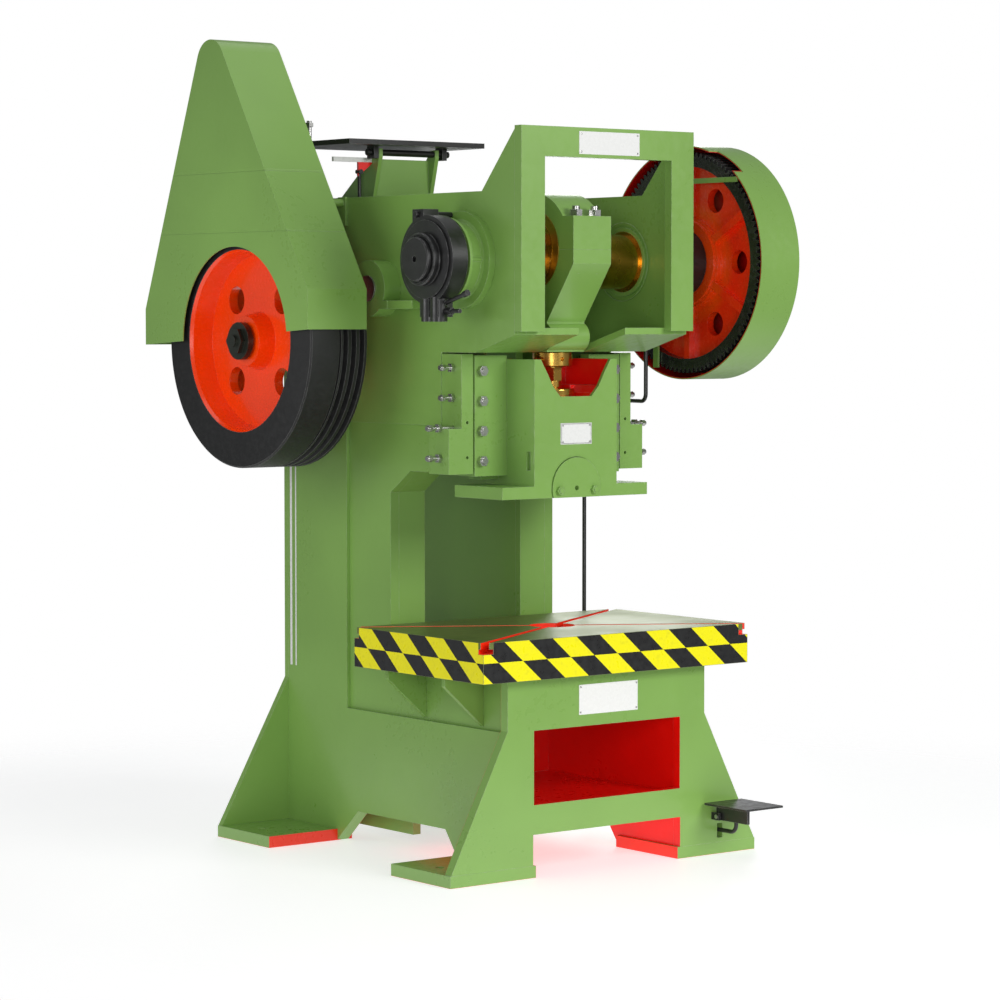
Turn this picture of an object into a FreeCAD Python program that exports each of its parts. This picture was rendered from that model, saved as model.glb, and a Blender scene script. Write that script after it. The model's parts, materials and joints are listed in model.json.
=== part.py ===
import FreeCAD, Part
import math
import os

# Geared open-front (C-frame) mechanical stamping press, in millimetres.
# The origin is on the floor, under the centre of the bed: +X is the operator's right,
# +Y runs from the operator to the back, +Z is up. The crankshaft, the back shaft and the
# flywheel shaft all lie along X.

V = FreeCAD.Vector

# ---------------------------------------------------------------- driving dimensions
# Bed (bolster plate)
BED_WIDTH = 1280.0
BED_DEPTH = 800.0
BED_THICKNESS = 150.0
BED_TOP = 890.0
BED_BORE_RADIUS = 50.0
SLOT_WIDTH = 28.0
SLOT_DEPTH = 42.0
SLOT_HEAD_WIDTH = 48.0
SLOT_HEAD_HEIGHT = 18.0

# Welded frame
CHEEK_OUTER = 400.0          # outer face of the core plates, from the centre plane
CHEEK_PLATE = 40.0
SKIN_PLATE = 15.0            # stiffening plates welded outside the core plates
FRONT_Y = -335.0             # front plane of the head frame and of the base
REAR_Y = 1200.0
FRONT_PLATE = 40.0
REAR_PLATE = 25.0
COLUMN_FRONT_Y = 496.0       # back of the throat
COLUMN_INNER = 236.0         # inner face of the column box, from the centre plane
COLUMN_PLATE = 36.0
HEAD_TOP = 2760.0
SHOULDER_Z = 2527.0
HEAD_BOTTOM = 2010.0
SOFFIT_Z = 1931.0            # underside of the head behind its sloped lip
SOFFIT_Y = -56.0
SOFFIT_PLATE = 25.0
THROAT_TOP = 1476.0
HAUNCH_Z = 1389.0
HAUNCH_Y = 368.0
UPPER_SKIN_Z = 1655.0
HEAD_RAIL = 110.0
ROD_SLOT = 112.0             # half width of the opening that the connecting rod passes

# Base and feet
BASE_HALF = 478.0
FOOT_HALF = 740.0
FOOT_INNER = 345.0
FOOT_THICKNESS = 45.0
FOOT_LENGTH = 365.0
FLARE_TOP = 551.0
BASE_WINDOW_HALF = 355.0
BASE_WINDOW_Z = (270.0, 545.0)
ARCH_Z = 160.0
ANCHOR_RADIUS = 17.0

# Crank drive
CRANK_Z = 2275.0
STROKE = 80.0
JOURNAL_RADIUS = 105.0
PIN_RADIUS = 115.0
ROD_HALF_WIDTH = 91.0
BUSH_WALL = 12.0
RUN_CLEARANCE = 0.05         # radial clearance of every running fit
SEAT_GAP = 0.3               # gap between curved faces of pieces that do not run together
BRAKE_DRUM_RADIUS = 145.0
BRAKE_BAND_RADIUS = 163.0
BRAKE_FACE_X = 612.0

# Connecting rod and screw
EAR_Y = 237.0
EAR_RISE = 125.0             # top of the bolted ears over the crankpin's centre
EAR_DROP = 53.0
CAP_RADIUS = 214.0
ROD_BOTTOM = 1932.0
SCREW_RADIUS = 40.0
LOCK_NUT_RADIUS = 76.0
LOCK_NUT_HEIGHT = 56.0
HEX_FLATS = 64.0
BALL_RADIUS = 45.0
BALL_Z = 1700.0
SEAT_CAP_RADIUS = 84.0
SEAT_CAP_TOP = 1792.0
SEAT_CAP_THICKNESS = 42.0

# Ram and gibs
RAM_HALF = 200.0
RAM_FRONT_Y = -142.0
RAM_TOP = 1905.0
RAM_NOTCH_Z = 1765.0
RAM_BOTTOM = 1385.0
FLANGE_HALF = 352.0
FLANGE_HEIGHT = 46.0
WING_HALF = 285.0
WING_FRONT_Y = 76.0
GUIDE_Y = 150.0
SLIDE_GAP = 0.1
GIB_FRONT_Y = 26.0
GIB_OUTER = 352.0
GIB_Z = (1466.0, 1920.0)
HOLDER_INNER = 358.0
HOLDER_OUTER = 412.0
HOLDER_WIDE = 472.0
HOLDER_STEP_Z = 1647.0
SHANK_RADIUS = 30.0

# Gear train
CRANK_MODULE = 8.0
BULL_TEETH = 106
BACK_PINION_TEETH = 25
BACK_MODULE = 8.0
BACK_GEAR_TEETH = 83
DRIVE_PINION_TEETH = 22
BACK_SHAFT_DROP = 103.0      # height of the crank axis over the back shaft
DRIVE_SHAFT_DROP = 201.0     # height of the back shaft over the flywheel shaft
BULL_X = (668.0, 768.0)
BACK_GEAR_X = (440.0, 515.0)
SHAFT_RADIUS = 50.0
GEAR_BORE_RADIUS = 90.0

# Flywheel and guards
FLYWHEEL_RADIUS = 492.0
FLYWHEEL_X = (-840.0, -580.0)
FLYWHEEL_DISC_RADIUS = 344.0
FLYWHEEL_RECESS = 95.0
FLYWHEEL_WEB = 40.0
SHEET = 5.0
GUARD_X = (-864.0, -592.0)
GUARD_APEX_RADIUS = 95.0
GEAR_GUARD_RADIUS = 456.0
GEAR_GUARD_X = (655.0, 850.0)

# Motor plate
MOTOR_PLATE_Z = 2735.0
MOTOR_HINGE_Y = REAR_Y - 360.0
MOTOR_HINGE_DROP = 24.0

# Treadle
PEDAL_X = (470.0, 660.0)
PEDAL_TOP = 205.0
TRIP_X = 560.0
EYE_OFFSET = 2.5             # how far each pin of the trip rod sits off the centre of its eye
LEVER_DROP = 13.0            # how far the treadle pulls the trip rod down
LEVER_HEIGHT = 162.0         # tip of the trip lever over its pivot

# Side plates and column
EDGE_STEP = 12.0             # how far the side plates' edges lie below the head frame's
SHOULDER_Y = -99.0           # where the head's sloping top meets the shoulder
SIDE_ARCH_Z = 130.0
SIDE_ARCH = ((838.0, 0.0), (695.0, SIDE_ARCH_Z), (128.0, SIDE_ARCH_Z), (30.0, 0.0))
LOWER_SKIN_Y = 767.0         # front edge of the lower skin's upright
LOWER_SKIN_Z = 531.0         # top of the lower skin over the base
CLOSING_PLATE = 30.0
BACKING_PLATE = 40.0
HAUNCH_INSET = 10.0
HAUNCH_LIFT = 20.0
TIE_FRONT_Y = 640.0
TIE_PLATE = 30.0
SOFFIT_MITRE = 4.0

# Base
FOOT_MARGIN = 3.0            # how far the front and rear plates stop short of the foot's edge
ARCH_INSET = 13.0
REAR_FLARE_Z = 619.0
ANCHOR_INSET = 90.0
TRIP_SLOT_HALF = 14.0
TRIP_SLOT_Z = (62.0, 118.0)
SHELF_Z = (232.0, 252.0)
WALL_Y = (470.0, 490.0)
GUSSET_PLATE = 20.0
GUSSET_STEPS = (205.0, 560.0)
GUSSET_INSET = 60.0
GUSSET_EDGE = 40.0
GUSSET_FOOT_Z = 540.0
BED_STEP = 38.0              # counterbore of the slug hole, past its radius
BED_STEP_DEPTH = 22.0

# Bearings
FLANGE_RADIUS = 181.0
FLANGE_LENGTH = 28.0
HOUSING_RADIUS = 140.0
HOUSING_LENGTH = 84.0
HOUSING_ROOT = (34.0, 150.0)  # length and radius of the cone between flange and housing
END_RING_RADIUS = 156.0
BUSH_END = 96.0
INNER_RING_RADIUS = 132.0
INNER_RING_LENGTH = 14.0
SLEEVE_WALL = 2.7
STIFFENER_RADIUS = 9.0
BEARING_FOOT_HALF = 125.0
BEARING_FOOT_DROP = (78.0, 46.0)
LEDGE_REACH = 75.0
LEDGE_FRONT_Y = 232.0
BACK_BEARING_RADIUS = 108.0
BACK_BEARING_LENGTH = 78.0
DRIVE_BEARING_RADIUS = 95.0
DRIVE_BEARING_LENGTH = 140.0
DRIVE_FLANGE_RADIUS = 125.0
DRIVE_FLANGE_LENGTH = 25.0
RIGHT_BEARING_RADIUS = 100.0
RIGHT_BEARING_LENGTH = 70.0

ECCENTRICITY = STROKE / 2
PIN_Z = CRANK_Z + ECCENTRICITY
EAR_TOP = PIN_Z + EAR_RISE
EAR_BOTTOM = PIN_Z - EAR_DROP
SKIN_OUTER = CHEEK_OUTER + SKIN_PLATE
CHEEK_INNER = CHEEK_OUTER - CHEEK_PLATE


# ---------------------------------------------------------------- helpers
def box(x0, x1, y0, y1, z0, z1):
    return Part.makeBox(x1 - x0, y1 - y0, z1 - z0, V(x0, y0, z0))


def prism(points, direction):
    wire = Part.makePolygon(points + [points[0]])
    return Part.Face(wire).extrude(direction)


def plate_yz(outline, x0, x1):
    return prism([V(x0, y, z) for y, z in outline], V(x1 - x0, 0, 0))


def plate_xz(outline, y0, y1):
    return prism([V(x, y0, z) for x, z in outline], V(0, y1 - y0, 0))


def plate_xy(outline, z0, z1):
    return prism([V(x, y, z0) for x, y in outline], V(0, 0, z1 - z0))


def disc_x(radius, x0, x1, y, z):
    return Part.makeCylinder(radius, x1 - x0, V(x0, y, z), V(1, 0, 0))


def disc_y(radius, y0, y1, x, z):
    return Part.makeCylinder(radius, y1 - y0, V(x, y0, z), V(0, 1, 0))


def disc_z(radius, z0, z1, x, y):
    return Part.makeCylinder(radius, z1 - z0, V(x, y, z0), V(0, 0, 1))


def ring_x(outer, inner, x0, x1, y, z):
    return disc_x(outer, x0, x1, y, z).cut(disc_x(inner, x0 - 1, x1 + 1, y, z))


def hexagon(flats):
    radius = flats / math.sqrt(3)
    return [(radius * math.cos(math.radians(60 * i)), radius * math.sin(math.radians(60 * i)))
            for i in range(6)]


def hex_y(flats, y0, y1, x, z):
    return plate_xz([(x + a, z + b) for a, b in hexagon(flats)], y0, y1)


def hex_z(flats, z0, z1, x, y):
    return plate_xy([(x + a, y + b) for a, b in hexagon(flats)], z0, z1)


def hex_x(flats, x0, x1, y, z):
    return plate_yz([(y + a, z + b) for a, b in hexagon(flats)], x0, x1)


def mirrored(shape):
    return shape.mirror(V(0, 0, 0), V(1, 0, 0))


def both_sides(shape):
    return [shape, mirrored(shape)]


def fuse(shapes):
    return shapes[0].multiFuse(shapes[1:]).removeSplitter()


def turned_x(profile, y, z):
    """Solid of revolution about the X line through (y, z); profile is (x, radius)."""
    points = [V(x, y, z + radius) for x, radius in profile]
    face = Part.Face(Part.makePolygon(points + [points[0]]))
    return face.revolve(V(0, y, z), V(1, 0, 0), 360)


def bent_rod(points, radius, bend):
    """Round bar along straight runs joined by tangent bends."""
    pieces = []
    start = points[0]
    for before, corner, after in zip(points, points[1:], points[2:]):
        into = (corner - before).normalize()
        away = (after - corner).normalize()
        turn = into.getAngle(away)
        first = corner - into * (bend * math.tan(turn / 2))
        axis = into.cross(away).normalize()
        centre = first + axis.cross(into) * bend
        pieces.append(Part.makeCylinder(radius, (first - start).Length, start, into))
        section = Part.Face(Part.Wire(Part.Circle(first, into, radius).toShape()))
        pieces.append(section.revolve(centre, axis, math.degrees(turn)))
        start = corner + away * (bend * math.tan(turn / 2))
    last = points[-1] - start
    pieces.append(Part.makeCylinder(radius, last.Length, start, last))
    return pieces


def gear_x(teeth, module, x0, x1, y, z, phase):
    """Spur gear blank with involute teeth; a tooth is centred on the angle phase."""
    pressure = math.radians(20)
    backlash = 0.5
    pitch = module * teeth / 2
    base = pitch * math.cos(pressure)
    root = pitch - 1.25 * module
    tip = pitch + 0.9 * module
    half_tooth = math.pi / (2 * teeth) - backlash / (2 * pitch)

    def involute(radius):
        angle = math.acos(min(1.0, base / radius))
        return math.tan(angle) - angle

    start = max(base, root + 0.1)
    radii = [start + (tip - start) * i / 4 for i in range(5)]
    flank = [(r, half_tooth + involute(pitch) - involute(r)) for r in radii]
    outline = []
    for tooth in range(teeth):
        centre = phase + 2 * math.pi * tooth / teeth
        side = [(root, flank[0][1])] + flank
        outline += [(r, centre - a) for r, a in side]
        outline += [(r, centre + a) for r, a in reversed(side)]
    points = [(y + r * math.cos(a), z + r * math.sin(a)) for r, a in outline]
    return plate_yz(points, x0, x1)


def meshing_phase(driver_teeth, driver_phase, driven_teeth, module, direction):
    """Phase of the driven gear, which lies at the angle direction from the driver."""
    step = 2 * math.pi / driver_teeth
    offset = (driver_phase - direction + step / 2) % step - step / 2
    slide = math.pi * module / 2 - module * driver_teeth / 2 * offset
    return direction + math.pi + slide / (module * driven_teeth / 2)


def save(node, *shapes):
    solids = [solid for shape in shapes for solid in shape.Solids]
    result = solids[0] if len(solids) == 1 else Part.makeCompound(solids)
    result.exportStep("parts/" + node + ".step")
    volume = sum(solid.Volume for solid in solids)
    print(node, len(solids), "solids", round(volume / 1e6, 3), "litres", result.isValid())


# ---------------------------------------------------------------- shaft centres
BULL_PITCH = CRANK_MODULE * BULL_TEETH / 2
BACK_CENTRES = CRANK_MODULE * (BULL_TEETH + BACK_PINION_TEETH) / 2
DRIVE_CENTRES = BACK_MODULE * (BACK_GEAR_TEETH + DRIVE_PINION_TEETH) / 2
BACK_Y = math.sqrt(BACK_CENTRES ** 2 - BACK_SHAFT_DROP ** 2)
BACK_Z = CRANK_Z - BACK_SHAFT_DROP
DRIVE_Y = BACK_Y + math.sqrt(DRIVE_CENTRES ** 2 - DRIVE_SHAFT_DROP ** 2)
DRIVE_Z = BACK_Z - DRIVE_SHAFT_DROP


# ---------------------------------------------------------------- frame
def cheek_outline():
    """C-shaped side plate: head, column and base, seen from the side."""
    return [
        (FRONT_Y + FRONT_PLATE, 0.0), (FRONT_Y + FRONT_PLATE, BED_TOP - BED_THICKNESS),
        (COLUMN_FRONT_Y, BED_TOP - BED_THICKNESS), (COLUMN_FRONT_Y, HAUNCH_Z),
        (HAUNCH_Y, THROAT_TOP), (GUIDE_Y, THROAT_TOP), (GUIDE_Y, SOFFIT_Z),
        (SOFFIT_Y, SOFFIT_Z), (FRONT_Y + FRONT_PLATE, HEAD_BOTTOM - EDGE_STEP),
        (FRONT_Y + FRONT_PLATE, HEAD_TOP - EDGE_STEP), (SHOULDER_Y, SHOULDER_Z),
        (REAR_Y - REAR_PLATE, SHOULDER_Z), (REAR_Y - REAR_PLATE, 0.0),
        *SIDE_ARCH]


def shaft_holes(shape, crank_radius, shaft_radius):
    """Opens a side plate for the three shafts."""
    cut = shape.cut(disc_x(crank_radius, -SKIN_OUTER - 1, SKIN_OUTER + 1, 0, CRANK_Z))
    cut = cut.cut(disc_x(shaft_radius, -SKIN_OUTER - 1, SKIN_OUTER + 1, BACK_Y, BACK_Z))
    return cut.cut(disc_x(shaft_radius, -SKIN_OUTER - 1, SKIN_OUTER + 1, DRIVE_Y, DRIVE_Z))


def build_frame():
    crank_hole = JOURNAL_RADIUS + BUSH_WALL + 3
    shaft_hole = SHAFT_RADIUS + 8
    core = plate_yz(cheek_outline(), CHEEK_INNER, CHEEK_OUTER)
    core = shaft_holes(core, crank_hole, shaft_hole)
    save("right_cheek", core)
    save("left_cheek", mirrored(core))

    upper = [
        (GUIDE_Y, UPPER_SKIN_Z), (GUIDE_Y, SOFFIT_Z), (SOFFIT_Y, SOFFIT_Z),
        (FRONT_Y + FRONT_PLATE, HEAD_BOTTOM - EDGE_STEP), (FRONT_Y + FRONT_PLATE, HEAD_TOP - EDGE_STEP),
        (SHOULDER_Y, SHOULDER_Z), (REAR_Y - REAR_PLATE, SHOULDER_Z),
        (REAR_Y - REAR_PLATE, UPPER_SKIN_Z)]
    lower = [
        (FRONT_Y + FRONT_PLATE, 0.0), (FRONT_Y + FRONT_PLATE, LOWER_SKIN_Z),
        (LOWER_SKIN_Y, LOWER_SKIN_Z),
        (LOWER_SKIN_Y, UPPER_SKIN_Z), (REAR_Y - REAR_PLATE, UPPER_SKIN_Z), (REAR_Y - REAR_PLATE, 0.0),
        *SIDE_ARCH]
    feet = [box(CHEEK_OUTER, SKIN_OUTER, y, y + FOOT_LENGTH, 0, FOOT_THICKNESS)
            for y in (FRONT_Y, REAR_Y - FOOT_LENGTH)]
    upper_skin = shaft_holes(plate_yz(upper, CHEEK_OUTER, SKIN_OUTER), crank_hole, shaft_hole)
    lower_skin = plate_yz(lower, CHEEK_OUTER, SKIN_OUTER).cut(fuse(feet))
    save("upper_side_skins", *both_sides(upper_skin))
    save("lower_side_skins", *both_sides(lower_skin))

    column = box(COLUMN_INNER, COLUMN_INNER + COLUMN_PLATE, COLUMN_FRONT_Y + CLOSING_PLATE,
                 REAR_Y - REAR_PLATE - CLOSING_PLATE, FOOT_THICKNESS, SOFFIT_Z)
    column = column.cut(disc_x(shaft_hole, 0, CHEEK_OUTER, DRIVE_Y, DRIVE_Z))
    save("column_inner_plates", *both_sides(column))

    throat = box(COLUMN_INNER, CHEEK_INNER, COLUMN_FRONT_Y, COLUMN_FRONT_Y + CLOSING_PLATE,
                 BED_TOP - BED_THICKNESS, HAUNCH_Z)
    haunch_outline = [
        (COLUMN_FRONT_Y, HAUNCH_Z), (HAUNCH_Y, THROAT_TOP), (GUIDE_Y + BACKING_PLATE, THROAT_TOP),
        (GUIDE_Y + BACKING_PLATE, THROAT_TOP + CLOSING_PLATE),
        (HAUNCH_Y + HAUNCH_INSET, THROAT_TOP + CLOSING_PLATE),
        (COLUMN_FRONT_Y + CLOSING_PLATE, HAUNCH_Z + HAUNCH_LIFT),
        (COLUMN_FRONT_Y + CLOSING_PLATE, HAUNCH_Z)]
    haunch = plate_yz(haunch_outline, COLUMN_INNER, CHEEK_INNER)
    rear_strip = box(COLUMN_INNER, CHEEK_INNER, REAR_Y - REAR_PLATE - CLOSING_PLATE,
                     REAR_Y - REAR_PLATE, BED_TOP, SHOULDER_Z)
    backing = box(RAM_HALF, CHEEK_INNER, GUIDE_Y, GUIDE_Y + BACKING_PLATE,
                  THROAT_TOP + CLOSING_PLATE, SOFFIT_Z)
    closing = [fuse([throat, haunch]), rear_strip, backing]
    save("column_closing_plates", *[item for plate in closing for item in both_sides(plate)])


def base_plate_outline():
    """Front plate of the base: sides straight under the bed, then flared to the feet."""
    half = [(BASE_HALF, BED_TOP - BED_THICKNESS), (BASE_HALF, FLARE_TOP),
            (FOOT_HALF - FOOT_MARGIN, FOOT_THICKNESS), (FOOT_INNER + ARCH_INSET, FOOT_THICKNESS),
            (FOOT_INNER + ARCH_INSET, ARCH_Z)]
    return half + [(-x, z) for x, z in reversed(half)]


def build_base():
    front = plate_xz(base_plate_outline(), FRONT_Y, FRONT_Y + FRONT_PLATE)
    window = box(-BASE_WINDOW_HALF, BASE_WINDOW_HALF, FRONT_Y - 1, FRONT_Y + FRONT_PLATE + 1,
                 *BASE_WINDOW_Z)
    rod_slot = box(TRIP_X - TRIP_SLOT_HALF, TRIP_X + TRIP_SLOT_HALF, FRONT_Y - 1,
                   FRONT_Y + FRONT_PLATE + 1, *TRIP_SLOT_Z)
    save("base_front_plate", front.cut(window).cut(rod_slot))

    rear_half = [(SKIN_OUTER, SHOULDER_Z), (SKIN_OUTER, REAR_FLARE_Z),
                 (FOOT_HALF - FOOT_MARGIN, FOOT_THICKNESS),
                 (FOOT_INNER + ARCH_INSET, FOOT_THICKNESS), (FOOT_INNER + ARCH_INSET, ARCH_Z)]
    rear = plate_xz(rear_half + [(-x, z) for x, z in reversed(rear_half)],
                    REAR_Y - REAR_PLATE, REAR_Y)
    gap = box(-COLUMN_INNER, COLUMN_INNER, REAR_Y - REAR_PLATE - 1, REAR_Y + 1,
              BED_TOP - BED_THICKNESS, SOFFIT_Z)
    save("rear_plate", rear.cut(gap))

    feet = []
    for y in (FRONT_Y, REAR_Y - FOOT_LENGTH):
        foot = box(FOOT_INNER, FOOT_HALF, y, y + FOOT_LENGTH, 0, FOOT_THICKNESS)
        foot = foot.cut(disc_z(ANCHOR_RADIUS, -1, FOOT_THICKNESS + 1, FOOT_HALF - ANCHOR_INSET,
                               y + FOOT_LENGTH / 2))
        feet += both_sides(foot.cut(box(CHEEK_INNER, CHEEK_OUTER, FRONT_Y + FRONT_PLATE,
                                        REAR_Y - REAR_PLATE, -1, FOOT_THICKNESS + 1)))
    save("foot_plates", *feet)

    cross = box(-CHEEK_INNER, CHEEK_INNER, FRONT_Y + FRONT_PLATE, WALL_Y[0], *SHELF_Z)
    wall = box(-CHEEK_INNER, CHEEK_INNER, *WALL_Y, SIDE_ARCH_Z, BED_TOP - BED_THICKNESS)
    save("base_inner_plates", cross, wall)

    gussets = []
    top = BED_TOP - BED_THICKNESS
    reach = BED_WIDTH / 2 - GUSSET_INSET
    for step in GUSSET_STEPS:
        y = FRONT_Y + FRONT_PLATE + step
        rib = plate_xz([(CHEEK_OUTER, top), (reach, top), (reach, top - GUSSET_EDGE),
                        (CHEEK_OUTER, GUSSET_FOOT_Z)], y, y + GUSSET_PLATE)
        gussets += both_sides(rib)
    ledge = box(SKIN_OUTER, SKIN_OUTER + LEDGE_REACH, LEDGE_FRONT_Y, BACK_Y - BEARING_FOOT_HALF,
                BACK_Z - BEARING_FOOT_DROP[0], BACK_Z - BEARING_FOOT_DROP[1])
    save("frame_ribs", mirrored(ledge), *gussets)


def build_bed():
    top = BED_TOP
    bed = box(-BED_WIDTH / 2, BED_WIDTH / 2, -BED_DEPTH / 2, BED_DEPTH / 2,
              top - BED_THICKNESS, top)
    bed = bed.cut(disc_z(BED_BORE_RADIUS, top - BED_THICKNESS - 1, top + 1, 0, 0))
    bed = bed.cut(disc_z(BED_BORE_RADIUS + BED_STEP, top - BED_STEP_DEPTH, top + 1, 0, 0))
    length = math.hypot(BED_WIDTH, BED_DEPTH)
    for sign in (-1, 1):
        angle = math.degrees(math.atan2(sign * BED_DEPTH, BED_WIDTH))
        slot = box(-length / 2, length / 2, -SLOT_WIDTH / 2, SLOT_WIDTH / 2,
                   top - SLOT_DEPTH, top + 1)
        head = box(-length / 2, length / 2, -SLOT_HEAD_WIDTH / 2, SLOT_HEAD_WIDTH / 2,
                   top - SLOT_DEPTH, top - SLOT_DEPTH + SLOT_HEAD_HEIGHT)
        tee = fuse([slot, head])
        tee.rotate(V(0, 0, 0), V(0, 0, 1), angle)
        bed = bed.cut(tee)
    save("bolster", bed)


def build_head():
    outer = [(-SKIN_OUTER, HEAD_BOTTOM), (-SKIN_OUTER, HEAD_TOP), (SKIN_OUTER, HEAD_TOP),
             (SKIN_OUTER, HEAD_BOTTOM), (SKIN_OUTER - HEAD_RAIL, HEAD_BOTTOM),
             (SKIN_OUTER - HEAD_RAIL, HEAD_TOP - HEAD_RAIL),
             (-SKIN_OUTER + HEAD_RAIL, HEAD_TOP - HEAD_RAIL), (-SKIN_OUTER + HEAD_RAIL, HEAD_BOTTOM)]
    save("head_frame", plate_xz(outer, FRONT_Y, FRONT_Y + FRONT_PLATE))

    rise = SOFFIT_PLATE
    lip = [(FRONT_Y + FRONT_PLATE, HEAD_BOTTOM - EDGE_STEP), (SOFFIT_Y, SOFFIT_Z), (GUIDE_Y, SOFFIT_Z),
           (GUIDE_Y, SOFFIT_Z + rise), (SOFFIT_Y + SOFFIT_MITRE, SOFFIT_Z + rise),
           (FRONT_Y + FRONT_PLATE, HEAD_BOTTOM - EDGE_STEP + rise)]
    save("head_soffit", *both_sides(plate_yz(lip, ROD_SLOT, CHEEK_INNER)))

    tie = box(-COLUMN_INNER, COLUMN_INNER, TIE_FRONT_Y, REAR_Y - REAR_PLATE,
              SHOULDER_Z - TIE_PLATE, SHOULDER_Z)
    wide = box(-CHEEK_INNER, CHEEK_INNER, TIE_FRONT_Y, REAR_Y - REAR_PLATE - CLOSING_PLATE,
               SHOULDER_Z - TIE_PLATE, SHOULDER_Z)
    save("top_tie_plate", tie.fuse(wide).removeSplitter())


def build_crank_bearings():
    bore = JOURNAL_RADIUS + RUN_CLEARANCE
    socket = JOURNAL_RADIUS + BUSH_WALL
    flange, neck = SKIN_OUTER + FLANGE_LENGTH, SKIN_OUTER + HOUSING_ROOT[0]
    ring, end = SKIN_OUTER + HOUSING_LENGTH, SKIN_OUTER + BUSH_END
    boss = turned_x([(SKIN_OUTER, socket), (SKIN_OUTER, FLANGE_RADIUS), (flange, FLANGE_RADIUS),
                     (flange, HOUSING_ROOT[1]), (neck, HOUSING_RADIUS), (ring, HOUSING_RADIUS),
                     (ring, END_RING_RADIUS), (end, END_RING_RADIUS), (end, socket)], 0, CRANK_Z)
    inner = ring_x(INNER_RING_RADIUS, socket, CHEEK_INNER - INNER_RING_LENGTH, CHEEK_INNER, 0, CRANK_Z)
    sleeve = ring_x(socket + SLEEVE_WALL, socket, CHEEK_INNER - 1, SKIN_OUTER + 1, 0, CRANK_Z)
    ribs = [disc_x(STIFFENER_RADIUS, flange - 2, ring + 2, y, CRANK_Z)
            for y in (-HOUSING_RADIUS + 4, HOUSING_RADIUS - 4)]
    housing = fuse([boss, inner, sleeve] + ribs)
    housing = housing.cut(disc_x(socket, 0, 700, 0, CRANK_Z))
    save("crank_bearings", *both_sides(housing))
    bush = ring_x(socket, bore, CHEEK_INNER - INNER_RING_LENGTH, end, 0, CRANK_Z)
    save("crank_bushes", *both_sides(bush))


def build_shaft_bearings():
    bore = SHAFT_RADIUS + RUN_CLEARANCE
    outer = -SKIN_OUTER - BACK_BEARING_LENGTH
    foot = box(outer, -SKIN_OUTER, BACK_Y - BEARING_FOOT_HALF, BACK_Y + BEARING_FOOT_HALF,
               BACK_Z - BEARING_FOOT_DROP[0], BACK_Z - BEARING_FOOT_DROP[1])
    left_back = fuse([ring_x(BACK_BEARING_RADIUS, bore, outer, -SKIN_OUTER, BACK_Y, BACK_Z), foot])
    left_back = left_back.cut(disc_x(bore, -600, 0, BACK_Y, BACK_Z))
    inner = CHEEK_INNER - RIGHT_BEARING_LENGTH
    right_back = ring_x(RIGHT_BEARING_RADIUS, bore, inner, CHEEK_INNER, BACK_Y, BACK_Z)
    left_drive = fuse([ring_x(DRIVE_BEARING_RADIUS, bore, -SKIN_OUTER - DRIVE_BEARING_LENGTH,
                              -SKIN_OUTER, DRIVE_Y, DRIVE_Z),
                       ring_x(DRIVE_FLANGE_RADIUS, bore, -SKIN_OUTER - DRIVE_FLANGE_LENGTH,
                              -SKIN_OUTER, DRIVE_Y, DRIVE_Z)])
    right_drive = ring_x(RIGHT_BEARING_RADIUS, bore, inner, CHEEK_INNER, DRIVE_Y, DRIVE_Z)
    save("shaft_bearings", left_back, right_back, left_drive, right_drive)


# ---------------------------------------------------------------- crank, brake, clutch
def build_crank():
    left_end = -BRAKE_FACE_X + 12
    right_end = BULL_X[1] + 34
    pin = disc_x(PIN_RADIUS, -ROD_HALF_WIDTH - 4, ROD_HALF_WIDTH + 4, 0, PIN_Z)
    journals = turned_x([(left_end, 0), (left_end, 60), (-SKIN_OUTER - 100, 60),
                         (-SKIN_OUTER - 100, JOURNAL_RADIUS), (SKIN_OUTER + 100, JOURNAL_RADIUS),
                         (SKIN_OUTER + 100, GEAR_BORE_RADIUS), (right_end, GEAR_BORE_RADIUS),
                         (right_end, 0)], 0, CRANK_Z)
    relief = ring_x(JOURNAL_RADIUS + 60, 1, -ROD_HALF_WIDTH - 4, ROD_HALF_WIDTH + 4, 0, CRANK_Z)
    journals = journals.cut(relief.cut(disc_x(PIN_RADIUS, -200, 200, 0, PIN_Z)))
    save("crankshaft", fuse([journals, pin]))

    drum_x = (-BRAKE_FACE_X, -SKIN_OUTER - 102)
    drum = turned_x([(drum_x[0] + 12, 60), (drum_x[0], 60), (drum_x[0], 90), (drum_x[0] + 8, 96),
                     (drum_x[0] + 8, BRAKE_DRUM_RADIUS), (drum_x[1], BRAKE_DRUM_RADIUS),
                     (drum_x[1], 60)], 0, CRANK_Z)
    save("brake_drum", drum.cut(disc_x(60, -700, 0, 0, CRANK_Z)))
    cap = turned_x([(-BRAKE_FACE_X - 12, 0), (-BRAKE_FACE_X - 12, 80), (-BRAKE_FACE_X - 8, 86),
                    (-BRAKE_FACE_X, 86), (-BRAKE_FACE_X, 58), (left_end, 58), (left_end, 0)],
                   0, CRANK_Z)
    save("drum_cap", cap.cut(disc_x(9, -BRAKE_FACE_X - 13, -BRAKE_FACE_X - 4, 0, CRANK_Z)))

    hub = turned_x([(SKIN_OUTER + 102, GEAR_BORE_RADIUS), (SKIN_OUTER + 102, 128),
                    (BULL_X[0] - 4, 128), (BULL_X[0] - 4, GEAR_BORE_RADIUS)], 0, CRANK_Z)
    nose = box(SKIN_OUTER + 120, BULL_X[0] - 12, -34, 34, CRANK_Z + 110, CRANK_Z + 158)
    nose = nose.cut(disc_x(120, 400, 700, 0, CRANK_Z))
    save("clutch_hub", fuse([hub, nose]))


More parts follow.
